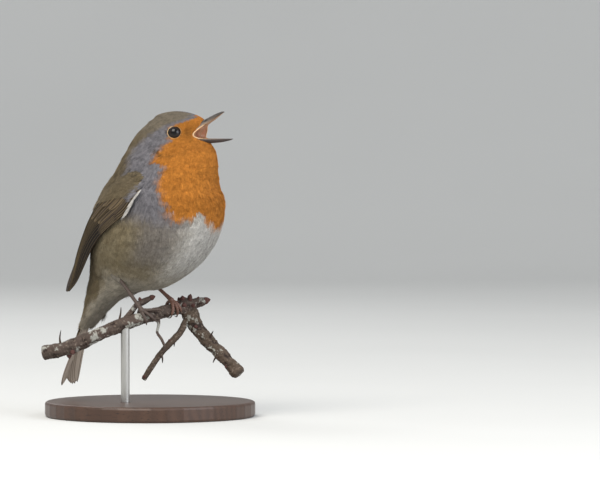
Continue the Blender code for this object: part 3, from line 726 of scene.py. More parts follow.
# %% The body's coat
ROOT_FROM_EYE, TIP_FROM_EYE = 3.3, 3.7
CHIN_SLOPE, CHIN_Z = 0.42, 126.6
slices = np.linspace(0.02, LAST_SLICE - 0.1, 400)
turns = np.linspace(-math.pi, math.pi, 361)
polar = scatter(
    lambda q: body_at(place_of(q[..., 0], q[..., 1])),
    slices,
    turns,
    lambda points: ROOT_SPACING * feather_length(points),
)
root_q = place_of(polar[:, 0], polar[:, 1])
root_point = body_at(root_q)
root_lean, root_sway = lean_of(root_point, root_q)
root_sway = root_sway + chance.normal(0, 0.05, len(root_q))
root_frames = fan_frame(body_at, root_q, 0.03, -1, root_lean, root_sway)
root_length = feather_length(root_point)
straight = turned(root_point, -1)


# A feather that would cross an eye or the open mouth is left out.
def eye_gap(points):
    """The distance from each point to the nearer eye's centre."""
    return np.min([np.linalg.norm(points - seat[0], axis=1) for seat in eyes.values()], axis=0)


tip_point = root_point + root_frames[2] * root_length[:, None]
ahead_of = straight[:, 0] - RICTUS[0]
in_mouth = (ahead_of > 0) & (straight[:, 2] > np.maximum(RICTUS[1] - CHIN_SLOPE * ahead_of, CHIN_Z))
in_mouth &= straight[:, 2] < np.interp(straight[:, 0], *JAW_LINE.T) + 0.2
keep = (eye_gap(root_point) > ROOT_FROM_EYE) & (eye_gap(tip_point) > TIP_FROM_EYE) & ~in_mouth

# What shows of a feather is its end, so it takes the markings of the place where its end lies.
reach = np.where(polar[:, 0] > 2.0, 0.8, 0.0) * root_length
tip_q = root_q + root_frames[5] * reach[:, None]
root_marks = markings(tip_q)
off = np.degrees(np.abs(polar[:, 1]))
at = polar[:, 0]
# The coat's pieces: barbs in a feather, and which roots belong to it.
REGIONS = {
    "coat_face": (9, (at < 6.2) & (off >= 75)),
    "coat_crown": (36, (at < 6.2) & (off < 75)),
    "coat_mantle": (32, (at >= 6.2) & (at < 11) & (off < 80)),
    "coat_throat": (26, (at >= 6.2) & (at < 9) & (off >= 80)),
    "coat_breast": (36, (at >= 9) & (at < 11.6) & (off >= 80)),
    "coat_belly": (40, (at >= 11.6) & (at < 15) & (off >= 100)),
    "coat_flanks": (44, (at >= 11) & (off >= 45) & (off < 100) & ~((at < 11.6) & (off >= 80))),
    "coat_rump": (30, (at >= 11) & (off < 45)),
    "coat_undertail": (30, (at >= 15) & (off >= 100)),
}
for name, (barbs, region) in REGIONS.items():
    chosen = np.flatnonzero(region & keep)
    parts = [v[chosen] if isinstance(v, np.ndarray) else [k[chosen] for k in v] for v in root_frames]
    size = root_length[chosen]
    length = size * chance.uniform(0.9, 1.1, len(chosen))
    uv = unwrapped(polar[chosen, 1], polar[chosen, 0])
    own = [m[chosen] for m in root_marks]
    made = fans(name, parts, length, 0.5 * size, coat_depth(size), barbs, own, uv)
    print(name, len(chosen), "feathers,", len(made.data.polygons), "triangles")

# %% [markdown]
# ## The folded wing
#
# A folded wing is a stack of stiff feathers. From the back downward come three tertials, six secondaries
# and the primaries, each inner one covering the hind web of the next, and shorter coverts lie over their
# roots. All of them lie on one bowed surface, given by its lower and its upper edge from the shoulder to
# the tip. A feather is a thin closed blade on that surface: its shaft runs along a straight line in the
# surface's two numbers, and it tilts like a roof tile, 0.09 mm down for each millimetre across. The left
# wing mirrors the right one, but its end stands 7 mm further out. Both tips hang clear of the rump, the
# right one by about 8 mm and the left one by about 13 mm.

# %% The wing's surface
# Shoulder to tip: lower edge x, y, z, upper edge x, y, z, bulge and thickness of the right wing.
WING = np.array([
    [9, -18.4, 111.5, 3, -15.5, 115, 0.6, 1.4], [9, -22.2, 106, -7.8, -11.6, 112.5, 3, 2.6],
    [5.4, -24.7, 99.8, -16.8, -8.2, 106, 5.4, 3], [1.2, -25.8, 93.2, -23.4, -5.4, 98, 7, 3],
    [-7.2, -24.9, 87, -28.4, -4, 89.5, 5.8, 2.8], [-15.2, -21.7, 81, -32.2, -3.4, 81, 4.2, 2.4],
    [-21.6, -17.9, 74.2, -35.2, -3.8, 73.5, 3, 2], [-26.6, -14.9, 67.2, -37.4, -5.2, 66.5, 1.8, 1.6],
    [-31, -12.7, 61, -38.6, -7.4, 60.5, 0.8, 1.2], [-36, -11, 56.2, -38.4, -9.4, 56.4, 0.2, 0.8],
])
WING_END = len(WING) - 1
WING_RAISE = 0.35
# How far the left wing's end stands out, and the rows over which that eases in.
LEFT_TIP_OUT = 7.0
LEFT_TIP_ROWS = (3.5, 7.5)
SIDES = {"right": -1, "left": 1}


def wing_at(q, side):
    """The wing's outer face: from the lower edge to the upper one by the share c, and out along the
    normal by the bulge times 4 c (1 - c), less toward the back. The left wing is the right one mirrored,
    with its end further out."""
    rows, ahead, behind = (spline(WING, q[..., 0] + step) for step in (0, 0.05, -0.05))
    low, high = rows[..., 0:3], rows[..., 3:6]
    along = ahead[..., 0:3] + ahead[..., 3:6] - behind[..., 0:3] - behind[..., 3:6]
    normal = unit(np.cross(high - low, along))
    normal = normal * np.sign(-normal[..., 1:2])
    c = q[..., 1:2]
    bulge = rows[..., 6:7] * 4 * c * (1 - c) * (1 - 0.6 * ease(c, 0.4, 0.9))
    point = low + (high - low) * c + normal * (bulge + WING_RAISE)
    out = LEFT_TIP_OUT * (side > 0) * ease(q[..., 0:1], *LEFT_TIP_ROWS)
    return point * [1, -side, 1] + out * [0, 1, 0]


def chord_at(s):
    """The distance between the wing's two edges."""
    rows = spline(WING, s)
    return np.linalg.norm(rows[..., 3:6] - rows[..., 0:3], axis=-1)


def wing_lay(q, side):
    """Points of the wing's outer face and its outward normals."""
    inner = np.stack([np.clip(q[..., 0], 0.06, WING_END - 0.06), q[..., 1]], axis=-1)
    normal = lay_of(lambda p: wing_at(p, side), inner, 0.05, 1)[1]
    return wing_at(q, side), normal * np.sign(normal[..., 1:2]) * side


# %% [markdown]
# ## A stiff feather
#
# Seen in section a vane is a thin lens with a ridge for the shaft. It narrows to its root, and its end is
# rounded more or less bluntly. The root is sunk half a millimetre, under the feathers above it.

# %% A blade
# Places across a blade, from the leading edge to the hind edge. The shaft is a narrow ridge among them.
SHAFT = 0.28
ACROSS = np.array([0.0, 0.05, 0.24, SHAFT, 0.32, 0.55, 0.8, 0.95, 1.0])
BLADE_ROWS = 30
TILE_TILT = 0.09


def outline(v, blunt):
    """Width of a feather along its length: it opens over the first eighth and closes at a rounded tip."""
    return np.sqrt(np.clip(v / 0.12, 0, 1)) * np.clip(1 - v**blunt, 0, 1) ** 0.55


def bundle(rings):
    """Points and faces of many closed skins in one mesh, from rings (n, rows, sides, 3)."""
    parts = [sealed(one) for one in rings]
    size = len(parts[0][0])
    faces = [np.concatenate([p[1][k] + size * i for i, p in enumerate(parts)]) for k in range(3)]
    return np.vstack([p[0] for p in parts]), faces

# %% [markdown]
# ## Laying blades on a surface
#
# A blade follows its surface: points are placed by the surface's own two numbers and raised along its
# normals. The same function makes the wing and the tail, which differ only in their surface.

# %% A fan of blades
def blades(name, surface_lay, span_at, table, material, blunt=7.0, tilt=TILE_TILT, thick=0.14):
    """Closed blades on a surface. Each row of the table: root s and c, tip s and c, width, lift, how olive
    it is and how pale its tip is. Across, a place is (share - shaft) x width x outline off the shaft."""
    root, tip, width, lift = table[:, 0:2], table[:, 2:4], table[:, 4], table[:, 5]
    count = len(table)
    v = np.linspace(0, 1, BLADE_ROWS)[None, :, None]
    bow = 0.5 * np.sin(math.pi * v)
    reach = (ACROSS[None, None] - SHAFT) * width[:, None, None] * outline(v, blunt)
    along = root[:, None, None, 0] + (tip - root)[:, None, None, 0] * (v + 0 * reach)
    span = span_at(along)
    side_place = root[:, None, None, 1] + (tip - root)[:, None, None, 1] * v + (reach - bow * 0.2) / span
    point, normal = surface_lay(np.stack([along, side_place], axis=-1))
    ridge = 0.10 * (np.abs(ACROSS - SHAFT) < 0.01) - 0.05 * (np.abs(ACROSS - SHAFT) > 0.7)
    from_lead = reach - reach[..., :1]
    buried = 0.5 * (1 - np.clip(v / 0.1, 0, 1))
    height = lift[:, None, None] - tilt * from_lead + ridge * (1 - 0.7 * v) - buried
    top = point + normal * height[..., None]
    lens = np.sin(math.pi * np.clip(ACROSS, 0.04, 0.96))[None, None] * thick + 0.02
    under = point + normal * (height - lens)[..., None]
    rings = np.concatenate([top, under[:, :, -2:0:-1]], axis=2)
    made = mesh_of(name, *bundle(rings), material)
    loop = np.concatenate([np.arange(len(ACROSS)), np.arange(len(ACROSS) - 2, 0, -1)])
    length = np.linalg.norm(np.diff(point[:, :, 3], axis=1), axis=-1).sum(axis=1)

    def per_point(grid):
        """Values on the rings, with the mean of the first and of the last ring for the two end points."""
        ends, size = grid[:, [0, -1]].mean(axis=2), grid.shape[-1]
        return np.concatenate([grid.reshape(count, -1, size), ends], axis=1).reshape(-1, size)

    # For the finish: mm from the leading edge, off the shaft and along it, then chance, olive and pale
    # tip, then the share of the length and whether the point is on the underside.
    shares = np.broadcast_to(ACROSS[loop], reach[..., loop].shape)
    runs = np.broadcast_to(v * length[:, None, None], shares.shape)
    tag(made, "vane", per_point(np.stack([from_lead[..., loop] + 0 * runs, reach[..., loop], runs], axis=-1)))
    own = np.stack([chance.uniform(0, 1, count), table[:, 6], table[:, 7]], axis=-1)
    tag(made, "kind", np.repeat(own, BLADE_ROWS * len(loop) + 2, axis=0))
    ends = np.broadcast_to(v, shares.shape)
    beneath = np.broadcast_to(np.arange(len(loop)) >= len(ACROSS), shares.shape)
    tag(made, "end", per_point(np.stack([ends, beneath, 0 * ends], axis=-1)))
    cell = (np.arange(count)[:, None, None] + 0.08 + 0.84 * shares) / count
    lay_out(made, per_point(np.stack([cell, 0.02 + 0.96 * ends], axis=-1)))
    return made


# %% [markdown]
# ## What a flight feather looks like close to
#
# Its webs are rows of barbs that leave the shaft at about 35 degrees, hooked together into a sheet with a
# faint silky grain. It is dark brown, with a paler olive or buff line along the leading edge and a paler
# underside, and the shaft is a smooth dark keratin rod. Real barbs stand about 0.3 mm apart. Here the
# grain repeats every 0.45 mm, so that it still shows at arm's length.

# %% Vanes
BARB_STEP = 0.45
BARB_LEAN = 1.4


def vane_finish(name, dark, olive, margin, margin_width, under):
    """Brown webs with a pale leading margin, oblique barbs, a dark shaft, a paler underside and, where the
    feather's kind asks for it, a pale tip. The margin is 0.2 mm wide, and wider where it is more olive."""
    made, tree, shader = finish(name, Roughness=0.62, Specular_IOR_Level=0.18)
    vane, kind, end = (three(tree, kept) for kept in ("vane", "kind", "end"))
    off_shaft = maths(tree, "ABSOLUTE", vane[1])
    slope = maths(tree, "MULTIPLY_ADD", off_shaft, -BARB_LEAN, vane[2])
    barb = maths(tree, "SINE", maths(tree, "MULTIPLY", slope, 2 * math.pi / BARB_STEP))
    tone = maths(tree, "MULTIPLY_ADD", barb, 0.09, ranged(tree, kind[0], 0, 1, 0.86, 1.12))
    web = add(tree, "HueSaturation", Value=tone, Color=blend(tree, kind[1], dark, olive)).outputs[0]
    wide = maths(tree, "MULTIPLY_ADD", kind[1], margin_width, 0.2)
    web = blend(tree, ranged(tree, vane[0], wide, 0.03), web, margin)
    tip = maths(tree, "MULTIPLY", ranged(tree, end[0], 0.9, 0.97), kind[2])
    web = blend(tree, tip, web, "#c6ad80")
    web = blend(tree, end[1], web, under)
    rod = ranged(tree, off_shaft, 0.22, 0.12)
    join(tree, blend(tree, rod, web, "#1d1612"), barb, shader, 0.35, 0.00006)
    return made


wing_vane = vane_finish("wing_feathers", "#1b1511", "#5d4f39", "#7d6c4f", 0.6, "#554f48")
covert_vane = vane_finish("wing_coverts", "#41372c", "#655640", "#7f6e50", 0.3, "#6d665c")
tail_vane = vane_finish("tail_feathers", "#6a594a", "#7d6a50", "#9a8562", 0.3, "#b3a595")

# %% [markdown]
# ## Stacking the wing
#
# Each feather is one row of numbers, so the order of the stack is easy to read and to change. A dark core
# closes the gaps below them, as the skin and down of a real wing do.

# %% The stack of the wing
# Nine primaries, six secondaries and three tertials, from the lowest up: root s and c, tip s and c,
# width, lift, how olive, how pale the tip.
FLIGHT = np.array([
    [2.6, 0.05, 8.45, 0.12, 4.8, 0, 0, 0], [2.6, 0.08, 8.85, 0.22, 5.2, 0, 0, 0],
    [2.6, 0.11, 9, 0.34, 5.4, 0, 0.02, 0], [2.6, 0.14, 8.95, 0.44, 5.6, 0, 0.04, 0],
    [2.6, 0.17, 8.75, 0.5, 5.6, 0, 0.06, 0], [2.6, 0.2, 8.45, 0.5, 5.4, 0, 0.1, 0],
    [2.6, 0.23, 8.15, 0.5, 5.6, 0, 0.12, 0], [2.6, 0.26, 7.9, 0.51, 5.8, 0, 0.14, 0],
    [2.6, 0.29, 7.65, 0.52, 6, 0, 0.16, 0], [2.5, 0.32, 7.4, 0.53, 7, 0, 0.25, 0],
    [2.5, 0.36, 7.3, 0.55, 7.2, 0, 0.3, 0], [2.5, 0.4, 7.15, 0.58, 7.4, 0, 0.35, 0],
    [2.5, 0.44, 7, 0.61, 7.6, 0, 0.4, 0], [2.5, 0.48, 6.85, 0.64, 7.8, 0, 0.45, 0],
    [2.5, 0.53, 6.7, 0.67, 8, 0, 0.5, 0], [2.4, 0.59, 6.55, 0.7, 8.2, 0.1, 0.75, 0],
    [2.4, 0.67, 5.95, 0.76, 8.4, 0.14, 0.85, 0], [2.4, 0.76, 5.2, 0.83, 8.4, 0.18, 0.95, 0],
])


def covert_row(count, root, tip, low, high, *own):
    """A row of like coverts whose shafts stand evenly between two shares of the wing's width. Their own
    numbers are the width, the lift, how olive they are and how pale their tips."""
    share = np.linspace(0, 1, count)
    c = low + (high - low) * share
    return np.column_stack([np.full(count, root), c, tip - 0.25 * share, c + 0.015, np.tile(own, (count, 1))])


COVERTS = np.vstack(
    [
        covert_row(9, 1.9, 4.15, 0.06, 0.88, 4.6, 0.12, 0.25, 0.12),
        covert_row(8, 1.4, 3.25, 0.05, 0.92, 4.4, 0.25, 0.55, 0.05),
        covert_row(5, 2.3, 4.70, 0.025, 0.10, 2.2, 0.16, 0.0, 0.0),
        covert_row(3, 1.9, 3.60, 0.02, 0.07, 2.0, 0.34, 0.1, 0.0),
    ]
)


def wing_core(side):
    """What lies under the feathers: the outer face 0.8 mm down and an inner face as thick as the wing."""
    s = np.linspace(0.05, WING_END - 0.1, 30)[:, None]
    c = np.linspace(0.02, 0.98, 14)[None]
    q = np.stack(np.broadcast_arrays(s, c), axis=-1)
    point, normal = wing_lay(q, side)
    thick = spline(WING, q[..., 0])[..., 7:8] * (0.35 + 0.65 * np.sqrt(4 * c * (1 - c)))[..., None]
    top = point - normal * np.minimum(0.8, 0.45 * thick)
    under = point - normal * thick
    return np.concatenate([top, under[:, ::-1]], axis=1)


# Matt dark down, seen only between the feathers.
down, tree, shader = finish("feather_roots", Roughness=0.85, Specular_IOR_Level=0.2)
fluffy = noise(tree, 0.001, 4.0)
join(tree, blend(tree, fluffy, "#2d241d", "#3f342a"), fluffy, shader, 0.6)

for side, sign in SIDES.items():
    lay = lambda q, sign=sign: wing_lay(q, sign)
    core = mesh_of(f"wing_core_{side}", *sealed(wing_core(sign)), down)
    place(core, "flight_feathers", f"wing_{side}")
    made = blades(f"wing_flight_{side}", lay, chord_at, FLIGHT, wing_vane, blunt=11.0)
    place(made, "flight_feathers")
    made = blades(f"wing_coverts_{side}", lay, chord_at, COVERTS, covert_vane, blunt=5.0)
    place(made, "flight_feathers")
    print("wing", side, len(FLIGHT), "flight feathers,", len(COVERTS), "coverts")

# %% [markdown]
# ## Scapulars and lesser coverts
#
# Soft feathers like those of the back flow from the shoulder over the upper wing and hide the roots of
# the stiff ones. They are fans like the body's, on the wing's surface, and run from the shoulder down. A
# row of white fans along the wing's lower edge makes the pale line at its bend. It stands up to 1.1 mm
# off the coverts, so that it shows, where real feathers would lie on them.

# %% The shoulder's soft feathers
SHOULDER_SPACING, SHOULDER_LENGTH = 1.25, 5.6
EDGE_COUNT, EDGE_LENGTH = 40, 4.6
shoulder_s = np.linspace(0.1, 3.5, 90)
shoulder_c = np.linspace(0.0, 1.0, 60)
for side, sign in SIDES.items():
    surface = lambda q, sign=sign: wing_at(q, sign)
    q = scatter(surface, shoulder_s, shoulder_c, lambda points: np.full(points.shape[:-1], SHOULDER_SPACING))
    q = q[q[:, 0] < 1.9 + 1.35 * ease(q[:, 1], 0.0, 0.8)]
    lean = unit(surface(q + [0.1, 0.02]) - surface(q - [0.1, 0.02]))
    sway = chance.normal(0, 0.10, len(q))
    way = 1 if (fan_frame(surface, q, 0.05, 1, lean, sway)[1][:, 1] * sign).mean() > 0 else -1
    frames = fan_frame(surface, q, 0.05, way, lean, sway)
    frames = (frames[0] + 0.55 * frames[1], *frames[1:])
    size = SHOULDER_LENGTH - 1.4 * (1 - ease(q[:, 0], 0.2, 1.4))
    brown = [np.zeros((len(q), 3)), np.zeros((len(q), 3))]
    brown[0][:, 2] = 1 - ease(q[:, 1] + 0.02 * chance.normal(0, 1, len(q)), 0.03, 0.08)
    brown[1][:, 2] = 0.25 * chance.uniform(0, 1, len(q))
    uv = unwrapped(q[:, 0], q[:, 1])
    made = fans(f"coat_shoulder_{side}", frames, size, 0.5 * size, 0.16 * size, 24, brown, uv)
    print("shoulder", side, len(q), "feathers,", len(made.data.polygons), "triangles")
    share = np.linspace(0, 1, EDGE_COUNT)
    q = np.column_stack([1.35 + 1.55 * share, 0.006 * chance.normal(0, 1, EDGE_COUNT)])
    lean = unit(surface(q + [0.1, 0.0]) - surface(q - [0.1, 0.0]))
    frames = fan_frame(surface, q, 0.05, way, lean, chance.normal(0, 0.03, EDGE_COUNT))
    frames = (frames[0] + (1.5 - 0.8 * share)[:, None] * frames[1], *frames[1:])
    size = np.full(EDGE_COUNT, EDGE_LENGTH)
    pale = [np.tile([0.0, 1.0, 0.12], (EDGE_COUNT, 1)), np.zeros((EDGE_COUNT, 3))]
    uv = unwrapped(q[:, 0], np.arange(EDGE_COUNT) % 7)
    width = 0.14 * size * (0.5 + 0.5 * share)
    fans(f"coat_wing_edge_{side}", frames, size, width, 0.1 * size, 14, pale, uv)

# %% [markdown]
# ## The tail
#
# Twelve feathers, six on each side, closed to a narrow blade. The middle pair lies on top and each outer
# one is a little lower, so the underside shows the outer pair. Their tips leave a shallow notch.

# %% Tail feathers
TAIL = np.array([
    [-31.1, 42.5, 6.4, 3.2], [-34, 36, 7.2, 2.8], [-37.4, 27.5, 8.6, 2.2], [-40.4, 19.5, 9.6, 1.6],
    [-42.4, 13.2, 9.4, 1],
])
TAIL_END = len(TAIL) - 1


def tail_lay(q):
    """The tail's upper face: the centre line, out sideways by a share of the half width, and up by half
    the thickness and a camber of 0.9 (1 - share^2)."""
    rows, ahead, behind = (spline(TAIL, np.clip(q[..., 0], 0, TAIL_END) + step) for step in (0, 0.05, -0.05))
    run = unit(ahead[..., 0:2] - behind[..., 0:2])
    over = (q[..., 0:1] - TAIL_END).clip(0) * 6.6
    spine = rows[..., 0:2] + run * over
    normal = np.stack([run[..., 1], 0 * run[..., 0], -run[..., 0]], axis=-1)
    share = q[..., 1:2]
    lift = rows[..., 3:4] / 2 + 0.9 * (1 - np.clip(share, -1, 1) ** 2)
    point = np.stack([spine[..., 0], share[..., 0] * rows[..., 2], spine[..., 1]], axis=-1)
    return point + normal * lift, normal


def tail_span(s):
    """The tail's half width, to turn millimetres across it into shares."""
    return spline(TAIL, np.clip(s, 0, TAIL_END))[..., 2]


# The six of one side, from the middle out, in the columns of the wing's table.
pair = np.arange(6)
tips = np.array([3.68, 3.84, 3.95, 4.0, 3.96, 3.82])
half = np.column_stack(
    [
        *(np.full(6, -0.02), -0.02 - 0.05 * pair, tips, -0.16 - 0.135 * pair, np.full(6, 5.6)),
        *(-0.03 - 0.24 * pair, 0.75 - 0.08 * pair, np.zeros(6)),
    ]
)
for side, sign in SIDES.items():
    lay = lambda q, sign=sign: tuple(v * [1, sign, 1] for v in tail_lay(q * [1, -1]))
    made = blades(f"tail_feathers_{side}", lay, tail_span, half, tail_vane, blunt=6.0, tilt=0.0, thick=0.16)
    place(made, "flight_feathers", *(["tail"] if side == "right" else []))

# %% [markdown]
# ## The eyes
#
# A robin's eye is large, round and nearly black, with a dark brown iris that shows only in strong light.
# It is a wet ball, so it is the one glossy thing on the bird and carries a sharp highlight. The cornea
# bulges a little beyond the ball. Round it runs a thin rim of bare skin with a ring of pale feather
# points, which is drawn as a low scalloped tube lying on the ball.

# %% Eyeballs and their rims
PUPIL_RADIUS = 1.55
IRIS_RADIUS = 2.35
RIM_RADIUS = 2.9
RIM_HEIGHT = 2.1
RIM_TUBE = 0.17
CORNEA = 0.22


def axes_about(side):
    """Unit vectors forward, up and outward at an eye. Forward points to the bill along the face."""
    centre, out = eyes[side]
    toward = turned(np.array([30.0, 0.0, 131.5])) - centre
    forward = unit(toward - out * (toward @ out))
    return centre, forward, np.cross(out, forward), out


def eyeball(side):
    """A ball about the outward axis, x = r sin(a), with a cornea: 0.22 exp(-(r / 2.3)^4) added outward."""
    centre, forward, up, out = axes_about(side)
    tilt = np.linspace(0.04, math.pi - 0.04, 40)[:, None]
    turn = np.linspace(0, 2 * math.pi, 48, endpoint=False)[None]
    radial = EYE_RADIUS * np.sin(tilt)
    height = EYE_RADIUS * np.cos(tilt) + CORNEA * np.exp(-((radial / 2.3) ** 4)) * (tilt < math.pi / 2)
    rings = radial[..., None] * (np.cos(turn)[..., None] * forward + np.sin(turn)[..., None] * up)
    points, faces = sealed(centre + rings + height[..., None] * out)
    made = mesh_of(f"eyeball_{side}", points, faces, eye_finish)
    flat = points - centre
    off_axis = np.linalg.norm(flat - np.outer(flat @ out, out), axis=1) + 9.0 * (flat @ out < 0)
    tag(made, "off_axis", np.column_stack([off_axis, flat @ forward, flat @ up]))
    return place(made, "eye", f"eye_{side}")


def tube_about(path, radius, reference, sides):
    """Rings round a path: centre + radius (up cos a + across sin a), up being `reference` squared to it."""
    tangent = unit(np.gradient(path, axis=0))
    up = unit(reference - tangent * (tangent * reference).sum(-1, keepdims=True))
    across = np.cross(tangent, up)
    a = np.linspace(0, 2 * math.pi, sides, endpoint=False)
    circle = up[:, None] * np.cos(a)[:, None] + across[:, None] * np.sin(a)[:, None]
    return path[:, None] + circle * np.broadcast_to(radius, (len(path), sides))[..., None]


def eye_rim(side):
    """A closed ring on the ball, an ellipse of 1.05 x 0.97, whose tube swells 18 times by an eighth."""
    centre, forward, up, out = axes_about(side)
    a = np.linspace(0, 2 * math.pi, 144, endpoint=False)[:, None]
    path = centre + RIM_RADIUS * (1.05 * np.cos(a) * forward + 0.97 * np.sin(a) * up) + RIM_HEIGHT * out
    spoke = unit(path - centre - RIM_HEIGHT * out)
    b = np.linspace(0, 2 * math.pi, 14, endpoint=False)
    radius = RIM_TUBE * (1 + 0.12 * np.sin(18 * a) * np.clip(np.cos(b), 0, 1))
    section = spoke[:, None] * np.cos(b)[:, None] + out * np.sin(b)[:, None]
    rings = path[:, None] + section * radius[..., None]
    faces = grid_faces(145, 14, True) % (144 * 14)
    made = mesh_of(f"eye_rim_{side}", rings.reshape(-1, 3), faces, rim_finish)
    behind = 0.5 - 0.5 * np.cos(a + 0.5)
    marks = np.broadcast_arrays(np.cos(b)[None], np.sin(b)[None], behind)
    tag(made, "rim", np.stack(marks, axis=-1).reshape(-1, 3))
    return place(made, "plumage")

# %% [markdown]
# ## What an eye looks like close to
#
# The ball is nearly black under a clear wet layer. The rim is matt bare skin and feather points.

# %% Finishes of the eye
# Wet cornea: a clear coat over black gives one sharp highlight and keeps the depth dark.
wet_ball = {"Roughness": 0.2, "Specular_IOR_Level": 0.05, "Coat_Weight": 1.0, "Coat_Roughness": 0.02}
eye_finish, tree, shader = finish("eye_wet", **wet_ball, Coat_IOR=1.34)
off = three(tree, "off_axis")[0]
iris = ranged(tree, off, PUPIL_RADIUS, PUPIL_RADIUS + 0.2)
colour = blend(tree, iris, "#050404", blend(tree, noise(tree, 0.0004), "#1a100a", "#24160d"))
join(tree, blend(tree, ranged(tree, off, IRIS_RADIUS - 0.3, IRIS_RADIUS), colour, "#080606"), None, shader)

# Bare rim: dark where it meets the ball, orange buff in front and pale behind, a little rough.
rim_finish, tree, shader = finish("eye_rim", Roughness=0.7, Specular_IOR_Level=0.2)
ring = three(tree, "rim")
pale = blend(tree, ring[2], "#a8743f", "#c8aa80")
join(tree, blend(tree, ranged(tree, ring[0], -0.75, -0.35), "#2a211b", pale), None, shader)

for side in SIDES:
    eyeball(side)
    eye_rim(side)
print("eye openings, mm:", round(2 * (RIM_RADIUS - 0.3), 2))

# %% [markdown]
# ## The bill
#
# Each mandible is bone in a sheath of horn. The upper one arches to a rounded culmen, dark slate above and
# paler along its cutting edge, with a nostril near the root and a slight downward hook. The lower one is a
# slender trough. Each is a closed loft: sections go from one cutting edge over the ridge to the other and
# come back along a hollow inner face the colour of the mouth.

# %% Mandibles
# Along each mandible, on the head before it turns: ridge x and z, cutting edge x and z, half width.
UPPER = np.array([
    [23.6, 133.4, 24.6, 130.6, 4.9], [26.2, 135, 26.5, 132.1, 3.45], [28.6, 136.3, 28.9, 133.8, 2.25],
    [31.2, 137.6, 31.5, 135.4, 1.55], [33.6, 138.6, 33.9, 137.1, 1], [35.5, 139.15, 35.7, 138.4, 0.55],
    [36.5, 139, 36.5, 138.8, 0.16],
])
LOWER = np.array([
    [24.8, 124.7, 24.9, 127.1, 5.1], [28, 124.6, 28, 126.9, 3.2], [31.4, 124.8, 31.4, 126.85, 2.05],
    [34.6, 125.1, 34.6, 126.85, 1.45], [37.4, 125.6, 37.4, 126.85, 0.9],
    [39.5, 126.15, 39.5, 126.85, 0.45], [40.7, 126.7, 40.7, 126.85, 0.12],
])
BILL_ROWS = 60
NOSTRIL = np.array([0.29, 0.6])

# %% [markdown]
# ## Lofting a mandible
#
# The sections are drawn in the middle plane and spread sideways, and the head's turn is applied last. The
# horn is slate on the ridge and paler at the edge, smooth from wear.

# %% Lofting the horn
def mandible(name, table, hollow, finish_of, nostril, node):
    """Outer sections are E + (R - E) cos(a)^0.8 with half width w sin(a), from -90 to 90 degrees. The inner
    face runs back 8 % narrower, dipping by the hollow's share of the height times 1 - (y / w)^2."""
    v = np.linspace(0, 1, BILL_ROWS)[:, None]
    rows = spline(table, v[:, 0] * (len(table) - 1))
    ridge, edge, width = rows[:, None, 0:2], rows[:, None, 2:4], rows[:, 4:5]
    a = np.radians(np.linspace(-90, 90, 25))[None]
    height = np.cos(a) ** 0.8 + 0 * v
    y = width * np.sin(a)
    pit = np.exp(-(((v - NOSTRIL[0]) / 0.035) ** 2) - ((height - NOSTRIL[1]) / 0.13) ** 2) * nostril
    y = y - np.sign(y) * 0.55 * pit
    flat = edge + (ridge - edge) * height[..., None]
    t = np.linspace(0.92, -0.92, 15)[None]
    dip = hollow * (1 - (t / 0.92) ** 2) * np.clip(1.3 - 1.3 * v**3, 0, 1) + 0.03
    inner = edge + (ridge - edge) * dip[..., None]
    profile = np.concatenate([flat, inner], axis=1)
    across = np.concatenate([y, width * t], axis=1)
    rings = turned(np.stack([profile[..., 0], across, profile[..., 1]], axis=-1))
    made = mesh_of(name, *sealed(rings), finish_of)
    inside = np.concatenate([0 * y, 1 + 0 * width * t], axis=1)
    level = np.concatenate([height, dip], axis=1)
    marks = np.stack([level, inside, np.broadcast_to(v, level.shape)], axis=-1)
    ends = marks[[0, -1]].mean(axis=1)
    tag(made, "horn", np.vstack([marks.reshape(-1, 3), ends]))
    pits = np.concatenate([pit, 0 * width * t], axis=1)
    pits = np.concatenate([pits.ravel(), [0, 0]])
    tag(made, "pit", np.column_stack([pits, pits, pits]))
    return place(made, "horn", node)


def horn_finish(name, ridge, flank, edge, lining):
    """Horn: the colour goes from the cutting edge up to the ridge, and darkens toward the tip. It is worn
    smooth, so it takes a broad dull highlight along the ridge. The nostril's shallow dent is painted near
    black, as painted shade for the opening."""
    made, tree, shader = finish(name, Roughness=0.44, Specular_IOR_Level=0.28)
    horn, pit = three(tree, "horn"), three(tree, "pit")
    grain = noise(tree, 0.0007, 3.0)
    level = maths(tree, "MULTIPLY_ADD", grain, 0.16, horn[0])
    ramp = add(tree, "ValToRGB", None, [(0.1, edge), (0.42, flank), (0.72, ridge)], Fac=level).outputs[0]
    ramp = blend(tree, ranged(tree, horn[2], 0.22, 0.7), ramp, ridge)
    ramp = blend(tree, horn[1], ramp, lining)
    # The nostril is painted near black: painted shade for an opening that the dent does not cut.
    join(tree, blend(tree, pit[0], ramp, "#120e0c"), grain, shader, 0.25, 0.00005)
    return made


upper_horn = horn_finish("bill_upper_horn", "#36322f", "#5a4d44", "#a38b73", "#a4836a")
lower_horn = horn_finish("bill_lower_horn", "#413937", "#3a3331", "#76675a", "#a4836a")
mandible("bill_upper_horn", UPPER, 0.35, upper_horn, 1.0, "bill_upper")
mandible("bill_lower_horn", LOWER, 0.5, lower_horn, 0.0, "bill_lower")
lengths = [np.hypot(*(table[-1, :2] - table[0, :2])) for table in (UPPER, LOWER)]
print("bill, mm:", np.round(lengths, 1), "upper and lower")

# %% [markdown]
# ## The open mouth
#
# A singing robin shows the inside of its mouth: soft flesh stretched between the jaws, pinkish brown and
# wet, edged by the gape flange, a pale yellowish fold that runs round the corner of the mouth from one
# jaw to the other. The flange is a thin tube and the lining a shell that sinks back between its two sides.

